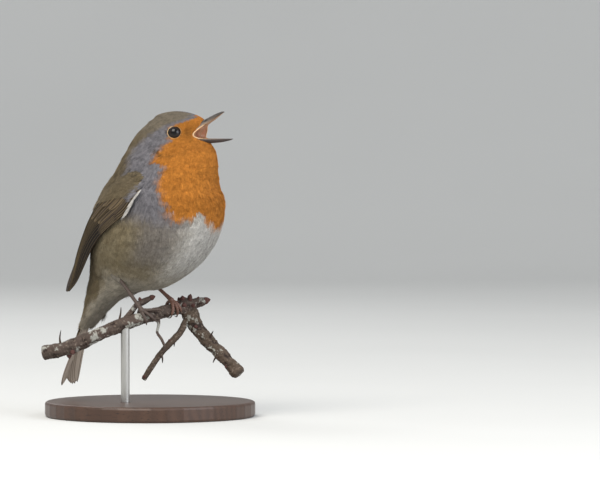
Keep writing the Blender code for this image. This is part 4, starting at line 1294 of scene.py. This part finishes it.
# %% The gape
# The fold on one side, on the head before it turns, from the upper jaw to the lower: x, y, z and radius.
GAPE = np.array([
    [27.6, 2.95, 132.95, 0.1], [26.3, 3.55, 132, 0.18], [24.6, 4.8, 130.5, 0.24],
    [23.5, 5.6, 129.1, 0.28], [23.7, 5.7, 127.9, 0.28], [25.1, 5, 127.15, 0.24], [26.3, 4.2, 126.9, 0.18],
    [27.5, 3.7, 126.85, 0.08],
])
FAR_SIDE_FORWARD = 4.0
MOUTH_DEPTH = 4.2
LINING_THICK = 0.35


def gape_line(at, sign):
    """The fold's path on one side. On the left it stands a little further forward at the corner."""
    rows = spline(GAPE, at)
    share = at / (len(GAPE) - 1)
    rows[:, 0] += FAR_SIDE_FORWARD * (sign > 0) * (1 - share) * np.sin(math.pi * share) ** 2
    rows[:, 1] *= sign
    return rows


# Gape flange: waxy and a little translucent, so it glows paler than the face round it.
flange, tree, shader = finish(
    "gape_flange", Roughness=0.38, Specular_IOR_Level=0.4, Subsurface_Weight=0.2, Subsurface_Scale=0.0008
)
soft = noise(tree, 0.0009)
join(tree, blend(tree, soft, "#c29c73", "#d6b68d"), soft, shader, 0.2)

for side, sign in SIDES.items():
    at = np.linspace(0, len(GAPE) - 1, 70)
    rows = gape_line(at, sign)
    rings = tube_about(rows[:, :3], rows[:, 3:4], np.array([0, 1.0, 0]), 14)
    place(mesh_of(f"gape_flange_{side}", *sealed(turned(rings)), flange), "mouth_flesh")

share = np.linspace(0.02, 0.98, 40)
near, far = (gape_line(share * (len(GAPE) - 1), sign)[:, None, :3] for sign in (-1, 1))
w = np.linspace(-1, 1, 30)[None, :, None]
sheet = near * (1 - w) / 2 + far * (1 + w) / 2
sink = (1 - w**2) * np.sin(math.pi * share)[:, None, None]
forward = np.array([1.0, 0, 0])
sheet = sheet - sink * MOUTH_DEPTH * forward + (1 - w**2) * (0.8 - 1.4 * share[:, None, None]) * UP
folds = 0.12 * np.sin(w * 14.0) * sink
shell = np.concatenate([sheet + folds * forward, sheet[:, ::-1] - LINING_THICK * forward], axis=1)
place(mesh_of("mouth_lining", *sealed(turned(shell)), flesh), "mouth_flesh")

# The tongue lies low in the trough of the lower mandible, flat and pointed.
v = np.linspace(0, 1, 40)
middle = np.stack([21.5 + 10.5 * v, 0 * v, 127.0 - 1.0 * np.sin(1.4 * v)], axis=1)
half = 1.35 * np.clip(1 - v**3, 0.02, 1) ** 0.6
a = np.linspace(0, 2 * math.pi, 20, endpoint=False)
section = np.stack([0 * a, np.cos(a), 0.3 * np.sin(a) * (1 - 0.4 * np.cos(2 * a))], axis=-1)
rings = middle[:, None] + half[:, None, None] * section
place(mesh_of("tongue_flesh", *sealed(turned(rings)), flesh), "mouth_flesh", "tongue")
print("gape, mm:", round(float(GAPE[1, 2] - GAPE[5, 2]), 1), "high,", 2 * GAPE[3, 1], "wide")

# %% [markdown]
# ## The perch
#
# The bird holds a hawthorn twig: a stem with a thorny spur and a knobby joint, from which a fork and a
# thinner twig leave. Bark is smooth and purplish on young wood, and on older wood it wrinkles into fine
# ridges along the branch with rings where buds once stood. The relief is worked into the mesh: a sum of
# sines along and round the branch, and rings of swelling at the nodes.

# %% Branches
# Points along each branch with the radius there: x, y, z and radius.
STEM = np.array([
    [-42.5, -24, 29.2, 3.1], [-36, -22.8, 30.3, 3.3], [-27.9, -21, 32.8, 3.2],
    [-14.7, -17, 39, 3], [-5, -13, 43, 2.9], [2.6, -7.5, 46, 2.8], [7.8, 1.6, 48.2, 2.8],
    [10.6, 7.2, 49.4, 3], [12.8, 11, 50, 4.2], [16, 13.2, 51.2, 2.4], [20.6, 15.5, 52.5, 1.7],
])
FORK = np.array([
    [13.4, 11.6, 49, 3.4], [14.6, 12, 46, 3.7], [17.6, 12.2, 40.6, 3.4], [22.6, 12.4, 35, 3],
    [31, 12.4, 27.4, 2.9], [39.4, 12, 19.6, 2.9],
])
TWIG = np.array([
    [14.4, 10.8, 44.6, 1.7], [13.4, 9.2, 42.6, 1.6], [11.2, 6.4, 37.2, 1.5], [6.2, 3, 31, 1.4],
    [1.2, 0, 23.4, 1.3], [-2.6, -1.4, 16.6, 1.1],
])
SPUR = np.array([
    [-6.8, -12.4, 43, 2], [-4.9, -9.5, 47.6, 1.35], [-3.4, -7, 50.9, 1.2], [-1.4, -5.2, 52.2, 1.5],
    [1, -3.8, 53.6, 1.15], [2.2, -3.1, 54.3, 0.9],
])
HOOK = np.array([
    [5.6, -3.2, 44.9, 1.1], [6.2, -3.6, 42.2, 0.7], [6, -4.6, 38.6, 0.6], [8, -4.2, 35.4, 0.65],
    [9.6, -4.4, 32, 0.5], [8.9, -4.6, 29.4, 0.25],
])
# Thorns: root, middle and tip, each x, y, z, on the stem, the twig or the fork.
THORNS = {
    "stem": [
        [(-9, -14.8, 41.4), (-8, -14, 47), (-7.8, -13.8, 50.4)],
        [(-33.8, -22.4, 31.2), (-34.4, -23, 35.6), (-33.6, -23.4, 39.8)],
        [(-20, -19, 35), (-20.6, -21.6, 33.6), (-20.4, -23.4, 32.2)],
    ],
    "twig": [
        [(11, 6.2, 37), (10, 5.2, 34.2), (9.8, 4.8, 31.6)],
        [(4.4, 2, 28.4), (5.6, 1.4, 26.4), (5.8, 1, 24.2)],
    ],
    "fork": [
        [(24, 12.2, 34), (26, 10.4, 37.2), (27.4, 9.6, 39.2)],
        [(29, 12.2, 29), (27.4, 11, 26.2), (26.8, 10.4, 24.4)],
    ],
}
# Buds and bud scars: place, direction and radius.
BUDS = {
    "stem": [
        [20.4, 15.4, 52.5, 0.86, 0.42, 0.25, 1.75], [2.2, -3.1, 54.3, 0.82, 0.42, 0.35, 1.35],
        [12.2, 8.9, 53.4, 0.1, -0.5, 0.86, 1.25], [15, 10.6, 53.2, 0.4, -0.6, 0.7, 1.15],
        [10.4, 9.6, 52.6, -0.5, 0.1, 0.85, 1.2], [13.6, 7.4, 50.6, 0.2, -0.95, 0.2, 1.25],
        [16.4, 10.8, 50.4, 0.6, -0.75, 0.1, 1.1], [10.4, 6.4, 51.6, -0.2, -0.6, 0.77, 1],
        [14, 12.6, 54, 0.15, 0.3, 0.94, 1.15], [17.6, 13.6, 53.2, 0.3, 0.1, 0.95, 0.9],
        [-2, -6.2, 53.5, -0.1, -0.4, 0.9, 0.85], [-30.4, -21.4, 28.4, 0.2, -0.3, -0.93, 1.3],
        [-27.6, -23.4, 29.8, 0.5, -0.7, -0.5, 1.15],
    ],
    "fork": [
        [18.6, 9.4, 40.8, 0.1, -0.95, 0.3, 0.9], [33.6, 10.4, 23.2, 0.1, -0.6, -0.79, 0.85],
    ],
    "twig": [[-2, -1.6, 18.2, -0.6, -0.4, -0.69, 1.05], [8.4, 3.6, 34.4, -0.5, -0.5, 0.7, 0.75]],
}

# %% [markdown]
# ## Branches as tubes
#
# A branch is a tube of rings along a smooth path. Bark relief moves each ring's points in and out.

# %% Relief and rings
def relief(run, angle, waves, seed):
    """A sum of sines, a sin(f run + m angle + phase), with whole m so that it joins round the branch."""
    own = np.random.default_rng(seed)
    total = 0 * (run + angle)
    for height, per_mm, around in waves:
        f, phase = own.uniform(0.6, 1.4) * per_mm, own.uniform(0, 2 * math.pi)
        total = total + height * np.sin(f * run + own.integers(-around, around + 1) * angle + phase)
    return total


# The sines of the bark: height, waves along in radians a millimetre, and the most waves round.
ROUGH = [(0.12, 0.5, 2), (0.10, 0.9, 3), (0.08, 0.3, 7), (0.07, 0.4, 11)]
ROUGH += [(0.05, 1.8, 5), (0.05, 0.7, 16), (0.04, 3.4, 9), (0.03, 5.0, 14)]
NODE_STEP = 6.2


def branch(table, sides, seed, rough=1.0, step=0.22):
    """Rings of a branch with bark relief, and per point: run in mm, relief and the distance to its end."""
    fine = spline(table, np.linspace(0, len(table) - 1, 40 * len(table)))
    ran = np.concatenate([[0], np.cumsum(np.linalg.norm(np.diff(fine[:, :3], axis=0), axis=1))])
    run = np.linspace(0, ran[-1], int(ran[-1] / step))
    rows = np.stack([np.interp(run, ran, column) for column in fine.T], axis=1)
    angle = np.linspace(0, 2 * math.pi, sides, endpoint=False)[None]
    bumps = relief(run[:, None], angle, ROUGH, seed) * rough
    node = np.exp(-((((run + seed) % NODE_STEP) - NODE_STEP / 2) ** 2) / 0.35)[:, None]
    rings_of_node = node * (0.12 + 0.06 * np.sin(run * 11.0)[:, None]) * (1 + 0.5 * np.cos(angle + seed))
    end = np.minimum(run, ran[-1] - run)[:, None]
    closed = np.sqrt(np.clip(end / 0.5, 0.0, 1)) * 0.25 + 0.75
    radius = (rows[:, 3:4] + (bumps + rings_of_node) * np.minimum(1, rows[:, 3:4] / 2.5)) * closed
    rings = tube_about(rows[:, :3], radius, UP, sides)
    run_at = np.broadcast_to(run[:, None], bumps.shape)
    return rings, np.stack([run_at, 0.5 + bumps, np.broadcast_to(end, bumps.shape)], axis=-1)


def with_ends(values):
    """Values on rings, with the mean of the first and of the last ring added for the two end points."""
    return np.vstack([values.reshape(-1, values.shape[-1]), values[0].mean(axis=0), values[-1].mean(axis=0)])

# %% [markdown]
# ## Buds and thorns
#
# A bud is an egg of overlapping scales and a thorn a bowed cone, and both start inside the wood.

# %% Buds and thorns
def budded(row):
    """A bud: rings of r sin(pi v^0.8)^0.7 along its axis, stepped by five overlapping scales."""
    at, way, r = np.array(row[:3]), unit(np.array(row[3:6])), row[6]
    v = np.linspace(0.02, 1, 34)
    path = at + way * (2.3 * r * (v - 0.35))[:, None]
    scale = 1 + 0.09 * (1 - (v * 5) % 1)
    a = np.linspace(0, 2 * math.pi, 22, endpoint=False)[None]
    lobes = 1 + 0.05 * np.cos(3 * a + 2.1 * np.floor(v * 5)[:, None])
    radius = r * (np.sin(math.pi * v**0.8) ** 0.7 * (1 - 0.25 * v) * scale)[:, None] * lobes
    rings = tube_about(path, radius + 0.02, np.array([0.31, 0.22, 0.92]), 22)
    # The second number runs along each scale. The finish darkens its end under the next scale as painted
    # shade.
    kind = np.stack(np.broadcast_arrays(v[:, None], (v[:, None] * 5) % 1, 1 + 0 * a), axis=-1)
    return rings, kind


def thorn(row):
    """A thorn: a bowed cone from 0.95 mm down to a point."""
    v = np.linspace(0, 1, 26)
    path = spline(np.array(row, float), v * 2)
    radius = (0.95 * (1 - v) ** 0.75 * (1 - 0.35 * np.sin(math.pi * v)) + 0.03)[:, None]
    rings = tube_about(path, radius, np.array([0.4, 0.9, 0.1]), 12)
    kind = np.stack(np.broadcast_arrays(v[:, None], 0.5 + 0 * v[:, None], 2 + np.zeros((1, 12))), axis=-1)
    return rings, kind


def gathered(name, parts, finish_of, attribute):
    """One mesh of several closed tubes, each a pair of rings and the values of its points."""
    points, faces, values, first = [], [[], [], []], [], 0
    for rings, kind in parts:
        own, groups = sealed(rings)
        points.append(own)
        values.append(with_ends(kind))
        for kept, group in zip(faces, groups):
            kept.append(group + first)
        first += len(own)
    quads = np.concatenate(faces[0])
    fans_of = np.concatenate(faces[1] + faces[2])
    made = mesh_of(name, np.vstack(points), [quads, fans_of], finish_of)
    tag(made, attribute, np.vstack(values))
    return made


# %% [markdown]
# ## What bark looks like close to
#
# Hawthorn bark is brown grey, flecked, and patched with pale lichen, and its creases are darkened as
# painted shade. One finish serves branch, bud and thorn, and a map on the mesh says which is which.

# %% Bark
def bark_finish(name, base, warm, lichen, much):
    """Bark by height of relief and noise: creases darkened as painted shade, brown ridges and patches of pale
    lichen, dry and rough to the eye. The map `part` turns it to the red brown of a bud, with each scale
    darker under the next as painted shade, and to the dark point of a thorn."""
    made, tree, shader = finish(name, Roughness=0.82, Specular_IOR_Level=0.2)
    bark, part = three(tree, "bark"), three(tree, "part")
    large, small = noise(tree, 0.007, 4.0, Roughness=0.65), noise(tree, 0.0012, 4.0, Roughness=0.7)
    fine = noise(tree, 0.00035)
    colour = add(tree, "ValToRGB", None, [(0.38, base), (0.5, warm), (0.62, base)], Fac=large).outputs[0]
    # Low relief is darkened: painted shade in the creases.
    colour = blend(tree, ranged(tree, bark[1], 0.42, 0.22), colour, "#2e2521")
    colour = blend(tree, ranged(tree, small, 0.56, 0.66), colour, "#75685c")
    patch = ranged(tree, maths(tree, "MULTIPLY_ADD", small, 0.35, large), 0.78 - much, 0.84 - much)
    colour = blend(tree, patch, colour, blend(tree, fine, lichen, "#a9a8a0"))
    # On a bud, each scale darkens toward the next scale's overhanging edge: painted shade under it.
    colour = blend(tree, part[0], colour, blend(tree, bark[1], "#5e3f39", "#3d2926"))
    colour = blend(tree, part[1], colour, blend(tree, bark[0], "#51433b", "#221a17"))
    join(tree, colour, maths(tree, "ADD", small, fine), shader, 0.6, 0.00015)
    return made


def perch_piece(of, branches, finish_of):
    """Branches with their thorns and buds as one piece. The map `part` starts with 1, 0 on a bud and with
    0, 1 on a thorn."""
    thorns, buds = [thorn(row) for row in THORNS[of]], [budded(row) for row in BUDS[of]]
    made = gathered(f"perch_{of}_bark", branches + thorns + buds, finish_of, "bark")
    marks = [
        np.tile([mark == 1, mark == 2, 0], (rings[..., 0].size + 2, 1))
        for mark, group in ((0, branches), (2, thorns), (1, buds))
        for rings, _ in group
    ]
    tag(made, "part", np.vstack(marks))
    print("perch", of, "faces:", len(made.data.polygons))
    return place(made, "bark", f"perch_{of}")


stem_bark = bark_finish("bark_grey", "#463d37", "#4e423c", "#7b7a73", 0.07)
dark_bark = bark_finish("bark_dark", "#43392f", "#51453b", "#817f76", 0.02)
perch_piece("stem", [branch(STEM, 64, 3), branch(SPUR, 40, 5), branch(HOOK, 24, 9, 0.6)], stem_bark)
perch_piece("fork", [branch(FORK, 56, 7, 1.5)], dark_bark)
perch_piece("twig", [branch(TWIG, 40, 11)], dark_bark)

# %% [markdown]
# ## Legs, toes and claws
#
# A tarsus is bone in thin skin: nearly smooth plates in front, each stepping a few hundredths of a
# millimetre over the next, and a narrow ridge behind. Three toes grip the perch in front and one behind,
# with a pad under every joint. A claw is a curved cone of dark horn that presses into the bark.

# %% Feet
FOOT_AT = {"right": 4.75, "left": 6.4}
FOOT_LEAN = {"right": 32.0, "left": 8.0}
HEEL = {"right": (-13.1, -13.2, 68.4), "left": (-10.4, 7.0, 67.4)}
KNUCKLE_RADIUS = 1.35
TOE_GAP = 0.22
# Each toe: start and end angle round the perch, and the shift along it at root and tip.
TOES = {
    "right": {
        "outer": (36, 122, -0.3, 0.2),
        "middle": (36, 130, 0.6, 4.6),
        "inner": (30, 62, 1, 8),
        "hind": (24, -80, 0, -1),
    },
    "left": {
        "outer": (10, 112, 0.4, 2.4),
        "middle": (12, 130, 0, 0.4),
        "inner": (10, 116, -0.4, -3),
        "hind": (0, -92, 0, -0.8),
    },
}
SCUTE_STEP = {"tarsus": 2.1, "toe": 0.95}
# Degrees round the perch that a claw starts before the toe's end, and goes on after it.
CLAW_ROOT, CLAW_ARC = 5.0, 45.0

# %% [markdown]
# ## Wrapping toes round a branch
#
# A toe is worked out as an angle round the perch and a shift along it, so it always lies on the bark.

# %% Toes round the perch
def foot_frame(side):
    """The stem's centre and radius under a foot, and unit vectors along it, up and forward."""
    rows = spline(STEM, FOOT_AT[side] + np.array([-0.05, 0, 0.05]))
    tangent = unit(rows[2, :3] - rows[0, :3])
    up = unit(UP - tangent * tangent[2])
    return rows[1, :3], rows[1, 3], tangent, up, np.cross(tangent, up)


def curl(side, start, end, near, far, size):
    """A path round the perch: centre + shift along + (radius + gap + size)(up cos b + forward sin b)."""
    centre, radius, tangent, up, forward = foot_frame(side)
    v = np.linspace(0, 1, len(size))[:, None]
    b = np.radians(start + (end - start) * v)
    out = up * np.cos(b) + forward * np.sin(b)
    return centre + tangent * (near + (far - near) * v) + out * (radius + TOE_GAP + size[:, None]), out


def scuted(path, size, top, step, pads):
    """Rings whose upper half steps up at each scute and whose lower half swells at the joints."""
    run = np.concatenate([[0], np.cumsum(np.linalg.norm(np.diff(path, axis=0), axis=1))])[:, None]
    a = np.linspace(0, 2 * math.pi, 22, endpoint=False)[None]
    face_up = np.clip(np.cos(a), 0, 1)
    plate = 0.07 * (1 - (run / step) % 1) * face_up
    joint = np.sin(math.pi * run / run[-1] * pads) ** 2 if pads else 0 * run
    soft = 0.16 * joint * np.clip(-np.cos(a), 0, 1) + 0.05 * (1 - joint) * (pads > 0)
    rings = tube_about(path, size[:, None] * (1 + plate + soft), top, 22)
    level = np.broadcast_to((run / step) % 1, plate.shape)
    return rings, np.stack([level, np.broadcast_to(face_up, plate.shape), 0 * plate], axis=-1)


def ball_rings(centre, radius, axis, rows=18, sides=24):
    """Rings of a ball about an axis."""
    a = np.linspace(0.06, math.pi - 0.06, rows)
    path = centre - axis * (radius * np.cos(a))[:, None]
    rings = tube_about(path, radius * np.sin(a)[:, None], np.array([0.2, 0.9, 0.1]), sides)
    return rings, np.broadcast_to(np.array([0.5, 0.5, 0.0]), (rows, sides, 3))

# %% [markdown]
# ## A whole limb
#
# The tarsus runs from the knuckle up into the belly. The toes and their claws curl on from the knuckle.

# %% Limbs
def make_limb(side, skin_of, claw_of):
    """The tarsus with the knuckle and toes, and the claws, as two pieces."""
    centre, radius, tangent, up, forward = foot_frame(side)
    lean = math.radians(FOOT_LEAN[side])
    knuckle = centre + (up * math.cos(lean) + forward * math.sin(lean)) * (radius + TOE_GAP + KNUCKLE_RADIUS)
    heel = np.array(HEEL[side])
    axis = unit(heel - knuckle)
    v = np.linspace(0, 1, 150)
    leg_path = knuckle + axis * (0.3 + (np.linalg.norm(heel - knuckle) + 1.5) * v)[:, None]
    thick = np.interp(v, [0, 0.06, 0.15, 0.5, 0.85, 1.0], [1.15, 1.0, 0.84, 0.80, 0.95, 1.25])
    parts = [scuted(leg_path, thick, np.array([1.0, 0.1, 0.35]), SCUTE_STEP["tarsus"], 0)]
    toes = [ball_rings(knuckle, KNUCKLE_RADIUS * 0.95, axis)]
    claws = []
    for start, end, near, far in TOES[side].values():
        w = np.linspace(0, 1, 90)
        size = np.interp(w, [0, 0.3, 0.8, 0.97, 1.0], [0.86, 0.72, 0.60, 0.52, 0.30])
        path, out = curl(side, start, end, near, far, size)
        toes.append(scuted(path, size, out, SCUTE_STEP["toe"], 3))
        way = math.copysign(1, end)
        drift = math.copysign(min(0.03, abs(far - near) / abs(end - start)), far - near)
        size = 0.44 * (1 - w) ** 0.7 + 0.03
        angles, shifts = np.array([-CLAW_ROOT, CLAW_ARC]) * way, np.array([-CLAW_ROOT, CLAW_ARC]) * drift
        path, out = curl(side, *(end + angles), *(far + shifts), size)
        path = path + out * (0.55 * np.sin(math.pi * w) ** 1.2)[:, None]
        a = np.linspace(0, 2 * math.pi, 16, endpoint=False)[None]
        rings = tube_about(path, size[:, None] * (1 - 0.18 * np.sin(a) ** 2), out, 16)
        claws.append((rings, np.broadcast_to(np.stack([w, w, 0 * w], -1)[:, None], (90, 16, 3))))
    place(gathered(f"tarsus_{side}", parts, skin_of, "scute"), "leg_skin", f"leg_{side}")
    place(gathered(f"toes_{side}", toes, skin_of, "scute"), "leg_skin", f"foot_{side}")
    names = [f"claw_{toe}_{side}" for toe in TOES[side]]
    return place(gathered(f"claws_{side}", claws, claw_of, "scute"), "horn", *names)


def scute_finish(name, skin_colour, gap_colour):
    """Leg skin: thin, slightly waxy, darker in the gaps between the plates and browner in patches."""
    made, tree, shader = finish(name, Roughness=0.5, Specular_IOR_Level=0.35)
    scute = three(tree, "scute")
    fine = noise(tree, 0.0006, 3.0)
    gap = maths(tree, "MULTIPLY", ranged(tree, scute[0], 0.8, 1.0), scute[1])
    join(tree, blend(tree, gap, blend(tree, fine, *skin_colour), gap_colour), fine, shader, 0.3, 0.00004)
    return made


# The far leg is in less light and shows redder. The claws are polished horn, darkest at the point.
near_skin = scute_finish("leg_skin_near", ("#413631", "#54473f"), "#2e2621")
far_skin = scute_finish("leg_skin_far", ("#5e4338", "#705145"), "#3b2820")
claw_horn, tree, shader = finish("claw_horn", Roughness=0.35, Specular_IOR_Level=0.45)
join(tree, blend(tree, three(tree, "scute")[0], "#5a4a3f", "#221a16"), None, shader)
make_limb("right", near_skin, claw_horn)
make_limb("left", far_skin, claw_horn)

# %% [markdown]
# ## Thigh feathers
#
# The leg of a perching bird leaves the belly through a short cuff of loose thigh feathers. The cuff is a
# cone round the top of the tarsus, wide inside the belly and close to the leg below it, and carries the
# same fans as the body. The left leg goes deeper into the belly, so its cuff lies inside and is not seen.

# %% Thigh feathers
CUFF_COUNT = 110
CUFF_FROM, CUFF_TO = 2.5, 5.4
CUFF_RADIUS = 4.3
CUFF_SLOPE = 0.38
CUFF_TURNS = 7
CUFF_LENGTH = 3.8


def cuff(side):
    """Fans on a cone about the tarsus: at t mm below the heel its radius is 4.3 - 0.38 t."""
    centre, radius, _, up, _ = foot_frame(side)
    heel = np.array(HEEL[side])
    down = unit(centre + up * radius - heel)
    first = unit(np.cross(down, UP))
    t = chance.uniform(CUFF_FROM, CUFF_TO, CUFF_COUNT)
    angle = np.linspace(0, CUFF_TURNS * 2 * math.pi, CUFF_COUNT, endpoint=False)
    angle = angle + chance.normal(0, 0.2, CUFF_COUNT)
    out = np.cos(angle)[:, None] * first + np.sin(angle)[:, None] * np.cross(down, first)
    wide = CUFF_RADIUS - CUFF_SLOPE * t
    root = heel + down * t[:, None] + out * wide[:, None]
    ahead = unit(down - CUFF_SLOPE * out)
    normal = np.cross(ahead, unit(np.cross(down, out)))
    normal = normal * np.sign((normal * out).sum(-1, keepdims=True))
    bends = [0 * t, 0 * t, np.maximum(-1 / wide, -0.3)]
    frames = (root, normal, ahead, np.cross(normal, ahead), bends, None)
    size = CUFF_LENGTH * chance.uniform(0.8, 1.15, CUFF_COUNT)
    marks = [np.tile(mark, (CUFF_COUNT, 1)) for mark in ([0.6, 0.28, 0.12], [0.0, 0.0, 0.0])]
    uv = unwrapped(np.mod(angle, 2 * math.pi), t)
    return fans(f"coat_thigh_{side}", frames, size, 0.45 * size, np.full(CUFF_COUNT, 0.7), 30, marks, uv)


for side in HEEL:
    cuff(side)

# %% [markdown]
# ## The stand
#
# The stand is plain: a turned disc of dark oiled wood and a steel rod. Both keep the solid model's shape,
# which is right, and only get their finish. Wood is drawn as growth rings seen on a flat-sawn board, and
# the rod as steel brushed along its length.

# %% Wood and steel
def stretched(tree, scale):
    """The piece's own axes, each squeezed by a factor, so that a pattern draws out along the small ones."""
    return add(tree, "Mapping", Vector=add(tree, "TexCoord").outputs["Object"], Scale=scale).outputs[0]


# Oiled walnut: a thin soft-edged gloss over dark grain.
oiled = {"Roughness": 0.42, "Specular_IOR_Level": 0.4, "Coat_Weight": 0.15, "Coat_Roughness": 0.3}
wood, tree, shader = finish("oiled_walnut", **oiled)
grain = stretched(tree, (0.12, 1.0, 1.0))
warp = add(tree, "TexNoise", Vector=grain, Scale=1 / 0.012, Detail=3.0).outputs["Fac"]
growth = add(
    tree, "TexWave", {"bands_direction": "Y"}, Vector=grain, Scale=1 / 0.011, Distortion=4.0, Detail=3.0
).outputs["Fac"]
pores = add(tree, "TexNoise", Vector=stretched(tree, (0.04, 1.0, 1.0)), Scale=1 / 0.0005).outputs["Fac"]
colour = blend(tree, warp, blend(tree, growth, "#3a281d", "#50382a"), "#432e22")
join(tree, blend(tree, ranged(tree, pores, 0.6, 0.72), colour, "#251811"), pores, shader, 0.15, 0.00005)
bpy.data.objects["stand_base"].material_slots[0].material = wood

# Brushed steel: a bright streak that spreads across the rod.
steel, tree, shader = finish("brushed_steel", Metallic=1.0, Roughness=0.32, Anisotropic=0.5)
spot = stretched(tree, (1.0, 1.0, 0.02))
brushed = add(tree, "TexNoise", Vector=spot, Scale=1 / 0.0002, Detail=2.0).outputs["Fac"]
join(tree, blend(tree, brushed, "#a9a8a4", "#c4c3bf"), brushed, shader, 0.1, 0.00002)
bpy.data.objects["stand_rod"].material_slots[0].material = steel

# %% [markdown]
# ## Floor, light and camera
#
# The model stands on a pale sweep, a floor that bends up into a backdrop, so that no line crosses behind
# it. The wall stands 2.4 m off, clear of a camera that walks round the model. A large soft lamp
# from the upper left of the view gives form, a second from the right fills the shadows, a third from
# behind draws the edge, and a pale world stands in for the bounce of a studio. The camera is a long lens,
# low and a little in front of the bird's right side.

# %% The sweep
VIEW_TURN = math.radians(25.0)
VIEW_RISE = math.radians(2.0)
VIEW_RIGHT = np.array([math.cos(VIEW_TURN), math.sin(VIEW_TURN), 0.0])
VIEW_LEVEL = np.array([math.sin(VIEW_TURN), -math.cos(VIEW_TURN), 0.0])
VIEW_BACK = VIEW_LEVEL * math.cos(VIEW_RISE) + UP * math.sin(VIEW_RISE)


def sweep(floor_far, floor_near, bend, height, half_width, steps=24):
    """A strip that runs flat, turns up through a quarter circle of radius `bend` and stands upright."""
    turn = np.linspace(0, math.pi / 2, steps)
    run = np.concatenate([[-floor_near], floor_far + bend * np.sin(turn), [floor_far + bend]])
    lift = np.concatenate([[0.0], bend * (1 - np.cos(turn)), [height]])
    middle = lift[:, None] * UP - run[:, None] * VIEW_LEVEL
    return np.stack([middle - VIEW_RIGHT * half_width, middle + VIEW_RIGHT * half_width], axis=1)


# Matt paper, pale grey, with a mottle too faint to notice.
paper, tree, shader = finish("backdrop_paper", Roughness=0.9, Specular_IOR_Level=0.2)
join(tree, blend(tree, noise(tree, 0.25), "#c6c7c5", "#cccdcb"), None, shader)
strip = sweep(floor_far=1500.0, floor_near=2600.0, bend=900.0, height=2600.0, half_width=2600.0)
backdrop = mesh_of("backdrop", strip.reshape(-1, 3), grid_faces(len(strip), 2), paper)


# %% [markdown]
# ## Light and view
#
# Square lamps 0.6 to 0.9 m across give soft edges to the shadows on something the size of a hand. The
# camera stands 2.28 m off, so the bird is seen with little perspective.

# %% Lamps, world and camera
def facing(back, right):
    """A matrix whose Z is `back` and whose X is `right`."""
    rows = np.column_stack([right, np.cross(back, right), back])
    return Matrix([[*row, 0.0] for row in rows.tolist()] + [[0, 0, 0, 1]])


def lamp(name, watts, size, toward, distance, colour):
    """A square soft lamp that looks at the middle of the bird from the direction `toward`."""
    back = unit(np.array(toward, float))
    right = unit(np.cross([0, 0, 1.0], back))
    data = bpy.data.lights.new(name, "AREA")
    data.energy, data.size, data.color = watts, size, linear(colour)[:3]
    made = bpy.data.objects.new(name, data)
    made.matrix_world = facing(back, right)
    made.location = (back * distance + [0, 0, 0.08]).tolist()
    bpy.context.scene.collection.objects.link(made)


key = -VIEW_RIGHT * 0.35 + VIEW_BACK * 0.75 + [0, 0, 1.0]
fill = VIEW_RIGHT * 0.9 + VIEW_BACK * 0.6 + [0, 0, 0.35]
lamp("key_lamp", 18.5, 0.9, key, 1.3, "#fffaf2")
lamp("fill_lamp", 12.0, 0.9, fill, 1.4, "#f2f6ff")
lamp("rim_lamp", 5.0, 0.6, -VIEW_BACK * 0.9 - VIEW_RIGHT * 0.6 + [0, 0, 0.9], 1.3, "#ffffff")
world = bpy.data.worlds.new("studio_bounce")
world.use_nodes = True
sky = world.node_tree.nodes["Background"].inputs
sky["Color"].default_value, sky["Strength"].default_value = linear("#e9ebef"), 0.75
bpy.context.scene.world = world
bpy.context.scene.view_settings.view_transform = "Standard"

LENS = 300.0
DISTANCE = 2280.0
AIM = VIEW_RIGHT * 68.4 + [0, 0, 75.9]
camera = bpy.data.cameras.new("camera")
camera.lens, camera.sensor_width = LENS, 36.0
camera.clip_start, camera.clip_end = 0.1, 100.0
viewer = bpy.data.objects.new("camera", camera)
viewer.matrix_world = facing(VIEW_BACK, VIEW_RIGHT)
viewer.location = ((AIM + VIEW_BACK * DISTANCE) * MM).tolist()
bpy.context.scene.collection.objects.link(viewer)
bpy.context.scene.camera = viewer
